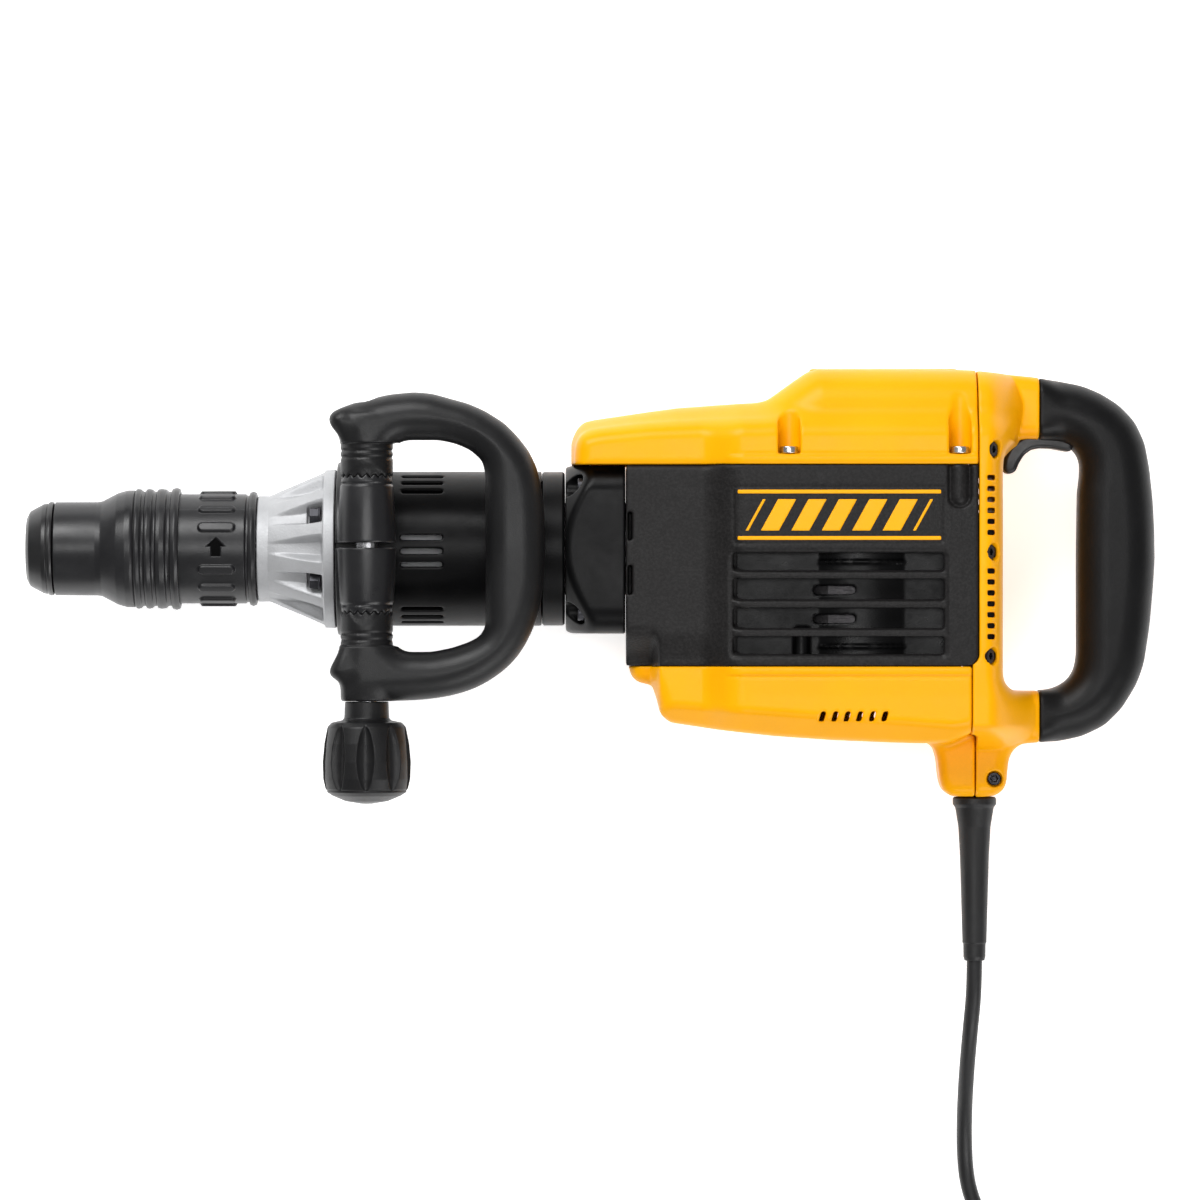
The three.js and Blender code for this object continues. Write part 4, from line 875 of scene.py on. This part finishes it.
for side, sg in (("left", 1), ("right", -1)):
    z0, z1 = (0.15, 59.5) if sg > 0 else (-59.5, -0.15)
    g = Grid((206.8, -136.8, min(z0, z1)), (247, 97.5, max(z0, z1)), 0.85)
    s = poly2(REAR_S, g.x, g.y)
    az = np.abs(g.z)
    w = rear_width(g)
    low = rint(np.maximum(poly2(SHOULDER, g.x, g.y), s), az - w, 9.5)
    high = rint(s, az - np.maximum(w - 8.5, 18.0), 22.0)
    k = ss(47, 55, g.y)
    f = rint(s, az - w, 11.0) * (1 - k) + rjoin(low, high, 9.0) * k
    arm = rint(s, az - 20.6, 8.0)
    f = np.minimum(f, arm)
    cav = np.maximum(s + 4, np.maximum(az - 49.5, np.maximum(g.x - 221.5, np.abs(g.y + 5) - 93)))
    cav = np.minimum(cav, box3(g, 200, 222, -96, 88, -38, 38))
    for q in ((205, 250, 70, 88.5, -15, 15), (205, 250, -99, -84, -15, 15), (200, 222, -118, -90, -13, 13), (224, 250, 38, 72, -10.3, 10.3)):
        cav = np.minimum(cav, box3(g, *q))
    f = np.maximum(f, -np.maximum(cav, f + 3.6))
    f = rcut(f, np.maximum(np.hypot(g.x - 211.6, g.z) - 7.4, g.y + 100), 0.4)
    for x, y in REAR_SCREWS:
        along = (g.x - x) * math.sin(LEAN) + (az - 54.0) * math.cos(LEAN)
        across = np.hypot(g.y - y, (g.x - x) * math.cos(LEAN) - (az - 54.0) * math.sin(LEAN))
        f = rcut(f, np.maximum(across - 5.0, -3.4 - along), 0.7)
    f = rcut(f, np.maximum(np.hypot(g.x - 221.6, g.y + 126.2) - 4.4, 14.6 - az), 0.8)
    for y in VENTS_Y:
        f = rcut(f, np.maximum(rect2(g.x - 217.8, g.y - y, 2.1, 1.45, 0.4), 40 - az), 0.4)
    f = rint(f, rear_edge(g.y) - g.x, 0.8)
    f = rint(f, g.x - (246.3 - 0.00016 * (np.abs(g.y) - 88) ** 2), 0.7)
    f = rint(f, 0.12 - sg * g.z, 0.35)
    solid(f"rear_shell_{side}", f, g, "housing", YELLOW, replaces=(f"rear_housing_{side}",), slot="yellow_shell")
    g = Grid((245.6, -107, min(z0, z1) if sg < 0 else 0.15), (311, 94.2, max(z0, z1) if sg > 0 else -0.15), 0.9)
    g = Grid((245.6, -107, 0.15 if sg > 0 else -21.5), (311, 94.2, 21.5 if sg > 0 else -0.15), 0.85)
    s = poly2(GRIP_S, g.x, g.y)
    az = np.abs(g.z)
    f = rint(s, az - 20.9 + 0.5 * ss(285, 250, g.x), 17.0)
    small = rint(s, az - 20.4, 9.0)
    k = ss(262, 247, g.x)
    f = f * (1 - k) + small * k
    cav = np.maximum(np.maximum(s + 7, az - 13.5), -1e3)
    for q in ((240, 256, 70, 88, -15, 15), (240, 256, -99, -84, -15, 15), (240, 266.6, 38, 72, -10.3, 10.3)):
        cav = np.minimum(cav, box3(g, *q))
    f = np.maximum(f, -np.maximum(cav, f + 3.6))
    f = rint(f, (246.6 - 0.00016 * (np.abs(g.y) - 88) ** 2) - g.x, 0.8)
    f = rint(f, 0.12 - sg * g.z, 0.35)
    solid(f"grip_shell_{side}", f, g, "housing", REAR_GRIP, replaces=(f"rear_grip_{side}",), slot="grip_rubber")
for i, (x, y) in enumerate(REAR_SCREWS):
    screw(f"rear_bolt_{i + 1}", (x, y, 54.0), "Z", 4.1, 3.3, "torx", "housing", DARK_STEEL, (f"rear_screw_{i + 1}",), "dark_steel", sign=1, lean=LEAN)
    screw(f"rear_bolt_{i + 4}", (x, y, -54.0), "Z", 4.1, 3.3, "torx", "housing", DARK_STEEL, (), "dark_steel", sign=-1, lean=-LEAN)
screw("boss_bolt", (221.6, -126.2, 17.6), "Z", 3.6, 2.8, "torx", "housing", DARK_STEEL, ("boss_screw",), "dark_steel", sign=1)

# trigger
TRIG = [[226.8, 43.7], [227.7, 49.9], [230.4, 55.4], [234.6, 59.3], [238.4, 61.9], [251.6, 63.0], [261.6, 63.0], [265.1, 58.6], [265.1, 54.3], [263.2, 53.2], [253.3, 55.0], [247.0, 55.2], [242.3, 54.2], [238.4, 51.2], [235.6, 46.6],
        [234.1, 42.6], [231.3, 40.9], [228.3, 41.4]]
g = Grid((226, 40, -9.8), (266, 64, 9.8), 0.5)
f = rint(poly2(soften(TRIG, 0.9, 0.6), g.x, g.y), np.abs(g.z) - 9.5 + 0.6 * (np.clip(g.y - 52, -12, 0) / 12) ** 2, 2.0)
f = f + 0.35 * (0.5 + 0.5 * np.cos(g.z * 2 * math.pi / 2.6)) * ss(-8, -6.8, -np.abs(g.z)) * ss(57, 54, g.y)
solid("trigger_lever", f, g, "trigger", SATIN, replaces=("trigger",), slot="black_shell")

# ---- plate on the motor housing: generic bars and diagonal stripes --------
for side, sg in (("left", 1), ("right", -1)):
    zf = 58.9
    g = Grid((79, 3.5, sg * zf - 1.6), (192, 32.5, sg * zf + 1.2), 0.45)
    x, y = g.x - 135.35, g.y - 18.0
    bars = np.minimum(rect2(x, y - 12.6, 55.2, 1.1, 0.4), rect2(x, y + 12.6, 55.2, 1.1, 0.4))
    lean = x - y * 0.55
    seg = np.abs(((lean + 8.25) % 16.5) - 8.25) - 5.0
    stripes = np.maximum(np.maximum(seg * 0.88, np.abs(y) - 8.6), np.abs(lean) - 46.3)
    d = np.minimum(bars, stripes)
    zz = np.abs(g.z) - (width(g) - 0.15)
    f = np.maximum(rint(d, zz - 0.42, 0.2), -zz - 0.65)
    solid(f"plate_marks_{side}", f, g, "housing", YELLOW, slot="yellow_shell")

# ---- clamp ring with its two ears -----------------------------------------
PX, PZ = -120.9, 62.0
TEETH, TOOTH = 18, 1.2


def zigzag(x, z):
    a = np.arctan2(x - PX, z - PZ) / (2 * math.pi) * TEETH
    return TOOTH * (np.abs((a % 1.0) * 2 - 1) * 2 - 1)


g = Grid((-140, -48, -48), (-103.5, 48, 79), 0.65)
rad = np.hypot(g.y, g.z)
ring = rint(np.abs(rad - 45.1) - 2.4, np.abs(g.x + 124.0) - 14.6, 0.9)
pr = np.hypot(g.x - PX, g.z - PZ)
cyl = pr - 15.9 + 2.4 * (np.clip(np.abs(g.y - 1.5), 0, 38) / 37.5) ** 1.6
zz = zigzag(g.x, g.z)
ends = np.maximum(g.y - 38.9 - zz, -34.9 + zz - g.y) * 0.85
ear = rint(cyl, ends, 0.5)
ear = ear + 0.55 * (ss(1.0, 0.3, np.abs(g.y - 34.6)) + ss(1.0, 0.3, np.abs(g.y + 30.8)))
block = rint(rint(np.abs(g.x - PX) - 13.7, np.maximum(g.y - 35.4, -31.4 - g.y), 3.0), np.maximum(g.z - PZ, 24 - g.z), 1.0)
f = rjoin(rjoin(ring, block, 3.0), ear, 2.0)
f = np.maximum(f, np.where((np.abs(g.y - 2) < 30) | (g.z < 40), -100.0, ends))
f = np.maximum(f, -(rad - 42.7))
f = rcut(f, pr - 6.3, 0.4)
f = rcut(f, np.maximum(np.abs(g.y - 1.5) - 1.4, 30 - g.z), 0.7)
solid("clamp_body", f, g, "clamp", SATIN, replaces=("clamp_ring",), slot="sleeve_black")

# ---- loop handle ----------------------------------------------------------
LOOP = [[-134.1, 39.0], [-134.1, 53.2], [-134.5, 58.6], [-137.0, 62.2], [-140.2, 66.0], [-141.4, 69.0], [-141.0, 71.8], [-138.7, 74.0], [-133.1, 76.4], [-126.5, 79.0], [-120.9, 80.4], [-108.1, 83.2], [-95.3, 84.4],
        [-85.4, 83.6], [-75.5, 80.8], [-65.9, 78.2], [-56.8, 74.2], [-46.3, 67.6], [-39.1, 60.3], [-33.0, 52.4], [-28.7, 43.4], [-26.0, 31.5], [-24.8, 19.7], [-24.3, -2.9], [-25.2, -20], [-27.0, -32.5],
        [-28.9, -38.5], [-31.1, -44.6], [-34.6, -51.8], [-38.7, -58.1], [-43.3, -63.4], [-48.6, -67.9], [-55, -72.3], [-62.2, -76.0], [-69, -78.4], [-76.0, -80.2], [-84, -81.5], [-92.7, -82.4], [-101, -82.9],
        [-110, -83.2], [-133.8, -83.2], [-133.5, -77.8], [-134.6, -73.4], [-140.7, -69.0], [-141.3, -66.8], [-139.1, -62.4], [-135.7, -55.8], [-134.3, -50.3], [-134.1, -35.0], [-107.3, -35.0], [-107.1, -49.0],
        [-104.5, -53.6], [-99.5, -56.3], [-85.9, -56.3], [-75.0, -54.2], [-65.0, -50.8], [-59.2, -47.5], [-56.6, -42.7], [-56.4, -0.7], [-56.8, 41.2], [-58.4, 47.4], [-65.0, 53.2], [-73.0, 56.6], [-81.5, 58.4],
        [-99.4, 58.4], [-104.5, 56.6], [-107.1, 52.6], [-107.3, 39.0]]
LOOP_S = soften(LOOP, 2.0, 1.0)
g = Grid((-142.5, -84, 46), (-23, 85.5, 78), 0.7)
s = poly2(LOOP_S, g.x, g.y)
az = np.abs(g.z - PZ)
grown = 15.0 - 1.2 * ss(-98, -123, g.x) * ss(58, 40, np.abs(g.y))
f = rint(s, az - grown, 13.0 - 6.0 * ss(-126, -136, g.x))
pr = np.hypot(g.x - PX, g.z - PZ)
zz = zigzag(g.x, g.z)
hub_t = rint(pr - 13.4, np.maximum(g.y - 72, 36 - g.y), 1.0)
hub_b = rint(pr - 13.4, np.maximum(g.y + 33, -82.9 - g.y), 1.0)
f = rjoin(f, np.minimum(hub_t, hub_b), 3.5)
f = np.maximum(f, np.maximum(pr - 14.2, -1e3) + 100 * ((g.y > 57) | (g.y < -53) | (g.x > -104)) * -1.0)
for yc in (52.6, 48.9, -46.2, -49.9):
    f = f + 0.6 * ss(1.0, 0.3, np.abs(g.y - yc)) * (g.x < -105)
low, high = g.y + 35.2 - zz, 39.2 + zz - g.y
f = np.maximum(f, np.where(g.x > -98, -100.0, np.where(g.y > 2, high, low) * 0.85))
f = rint(f, -83.0 - g.y, 0.6)
f = rcut(f, pr - 6.3, 0.4)
f = np.maximum(f, -np.maximum(pr - 9.8, np.maximum(60 - g.y, g.y - 68.6)))
# the loop and the knob take the lighter grip copy, which carries painted highlight
solid("loop_body", f, g, "loop", GRIP_WITH_PAINTED_HIGHLIGHT, replaces=("loop_handle",), slot="grip_rubber")

# ---- clamp knob -----------------------------------------------------------
kp = fillet([(-83.3, 6.4, 0), (-83.3, 11.8, 0.5), (-92.2, 12.2, 1.0), (-93.4, 13.4, 0.8), (-94.6, 19.0, 1.2), (-97.0, 21.2, 2.2), (-106, 23.0, 6), (-116, 23.9, 8), (-125, 23.6, 5), (-130.6, 22.3, 1.0), (-131.2, 21.5, 0.4),
             (-132.2, 21.6, 0.6), (-134.2, 18.6, 2.5), (-137.2, 11.5, 4.0), (-138.6, 3.0, 3.0), (-138.6, 0.4, 0), (-113, 0.4, 0), (-113, 6.4, 0)], 6)


def knob_radius(a, th, r):
    along = (a + 113.8) / 17.5
    halfw = math.radians(12.0) * np.sqrt(np.clip(1 - np.abs(along) ** 1.7, 0, 1))
    u = ((th + math.pi / 9) % (2 * math.pi / 9)) - math.pi / 9
    q = np.abs(u) / np.maximum(halfw, 1e-4)
    d = 3.4 * np.clip(1 - q * q, 0, 1) ** 0.8 * np.sqrt(np.clip(1 - np.abs(along) ** 1.7, 0, 1))
    return np.where((r > 14) & (a < -92), r - d, r)


turned("knob_body", refine(kp, 0.8), "knob", GRIP_WITH_PAINTED_HIGHLIGHT, "Y", (PX, 0, PZ), 540, radius=knob_radius, replaces=("clamp_knob",), slot="grip_rubber")

# tool holder, turned, with a round bore
turned("holder_body", refine(th_prof, 2.0), "chisel_holder", STEEL, "X", n=144, replaces=("tool_holder",), slot="steel")

# ---- CAD nodes that stay --------------------------------------------------
KEPT = {
    "locking_roller": STEEL, "sleeve_spring": GEAR, "clamp_bolt": ZINC, "beat_piece": STEEL, "cylinder": ALU, "ram": STEEL, "piston": ALU, "connecting_rod": ALU, "crank_gear": GEAR,
    "intermediate_gear": GEAR, "armature": LAMIN, "cooling_fan": SWITCH, "stator": LAMIN, "brush": COPPER, "bearing": STEEL, "switch_unit": SWITCH, "control_module": SWITCH,
}
for name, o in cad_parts.items():
    if o.hide_render:
        continue
    m = next((v for k, v in KEPT.items() if name.startswith(k)), SWITCH)
    if not o.data.materials:
        o.data.materials.append(m)
    for sl_ in range(len(o.data.materials)):
        o.material_slots[sl_].link = "OBJECT"
        o.material_slots[sl_].material = m

# ---- floor, world and lights ----------------------------------------------
me = bpy.data.meshes.new("floor")
me.from_pydata([(-6, -6, -0.0004), (6, -6, -0.0004), (6, 6, -0.0004), (-6, 6, -0.0004)], [], [(0, 1, 2, 3)])
floor = bpy.data.objects.new("floor", me)
bpy.context.scene.collection.objects.link(floor)
fm = bpy.data.materials.new("floor_paper")
fm.use_nodes = True
b = fm.node_tree.nodes["Principled BSDF"]
b.inputs["Base Color"].default_value = (0.93, 0.93, 0.93, 1)
b.inputs["Roughness"].default_value = 0.9
b.inputs["Specular IOR Level"].default_value = 0.1
b.inputs["Emission Color"].default_value = (1, 1, 1, 1)
b.inputs["Emission Strength"].default_value = 0.62
me.materials.append(fm)

world = bpy.data.worlds.new("studio")
bpy.context.scene.world = world
world.use_nodes = True
world.node_tree.nodes["Background"].inputs[0].default_value = (1.0, 1.0, 1.0, 1)
world.node_tree.nodes["Background"].inputs[1].default_value = 0.26


def area(name, loc, to, size, power, color=(1, 1, 1)):
    d = bpy.data.lights.new(name, "AREA")
    d.shape = "RECTANGLE"
    d.size, d.size_y = size
    d.energy = power
    d.color = color
    o = bpy.data.objects.new(name, d)
    o.location = loc
    o.rotation_euler = (Vector(to) - Vector(loc)).to_track_quat("-Z", "Y").to_euler()
    bpy.context.scene.collection.objects.link(o)


area("key", (-0.7, 1.5, 1.5), (0.02, 0.0, 0.05), (1.6, 0.9), 43)
area("fill", (0.9, -1.5, 1.3), (0.0, 0.0, 0.05), (1.6, 0.8), 22)
area("top", (0.0, 0.15, 2.3), (0.0, 0.0, 0.05), (1.2, 0.5), 13)

bpy.context.scene.view_settings.view_transform = "Standard"
bpy.context.scene.view_settings.look = "None"
bpy.context.scene.view_settings.exposure = 0.0
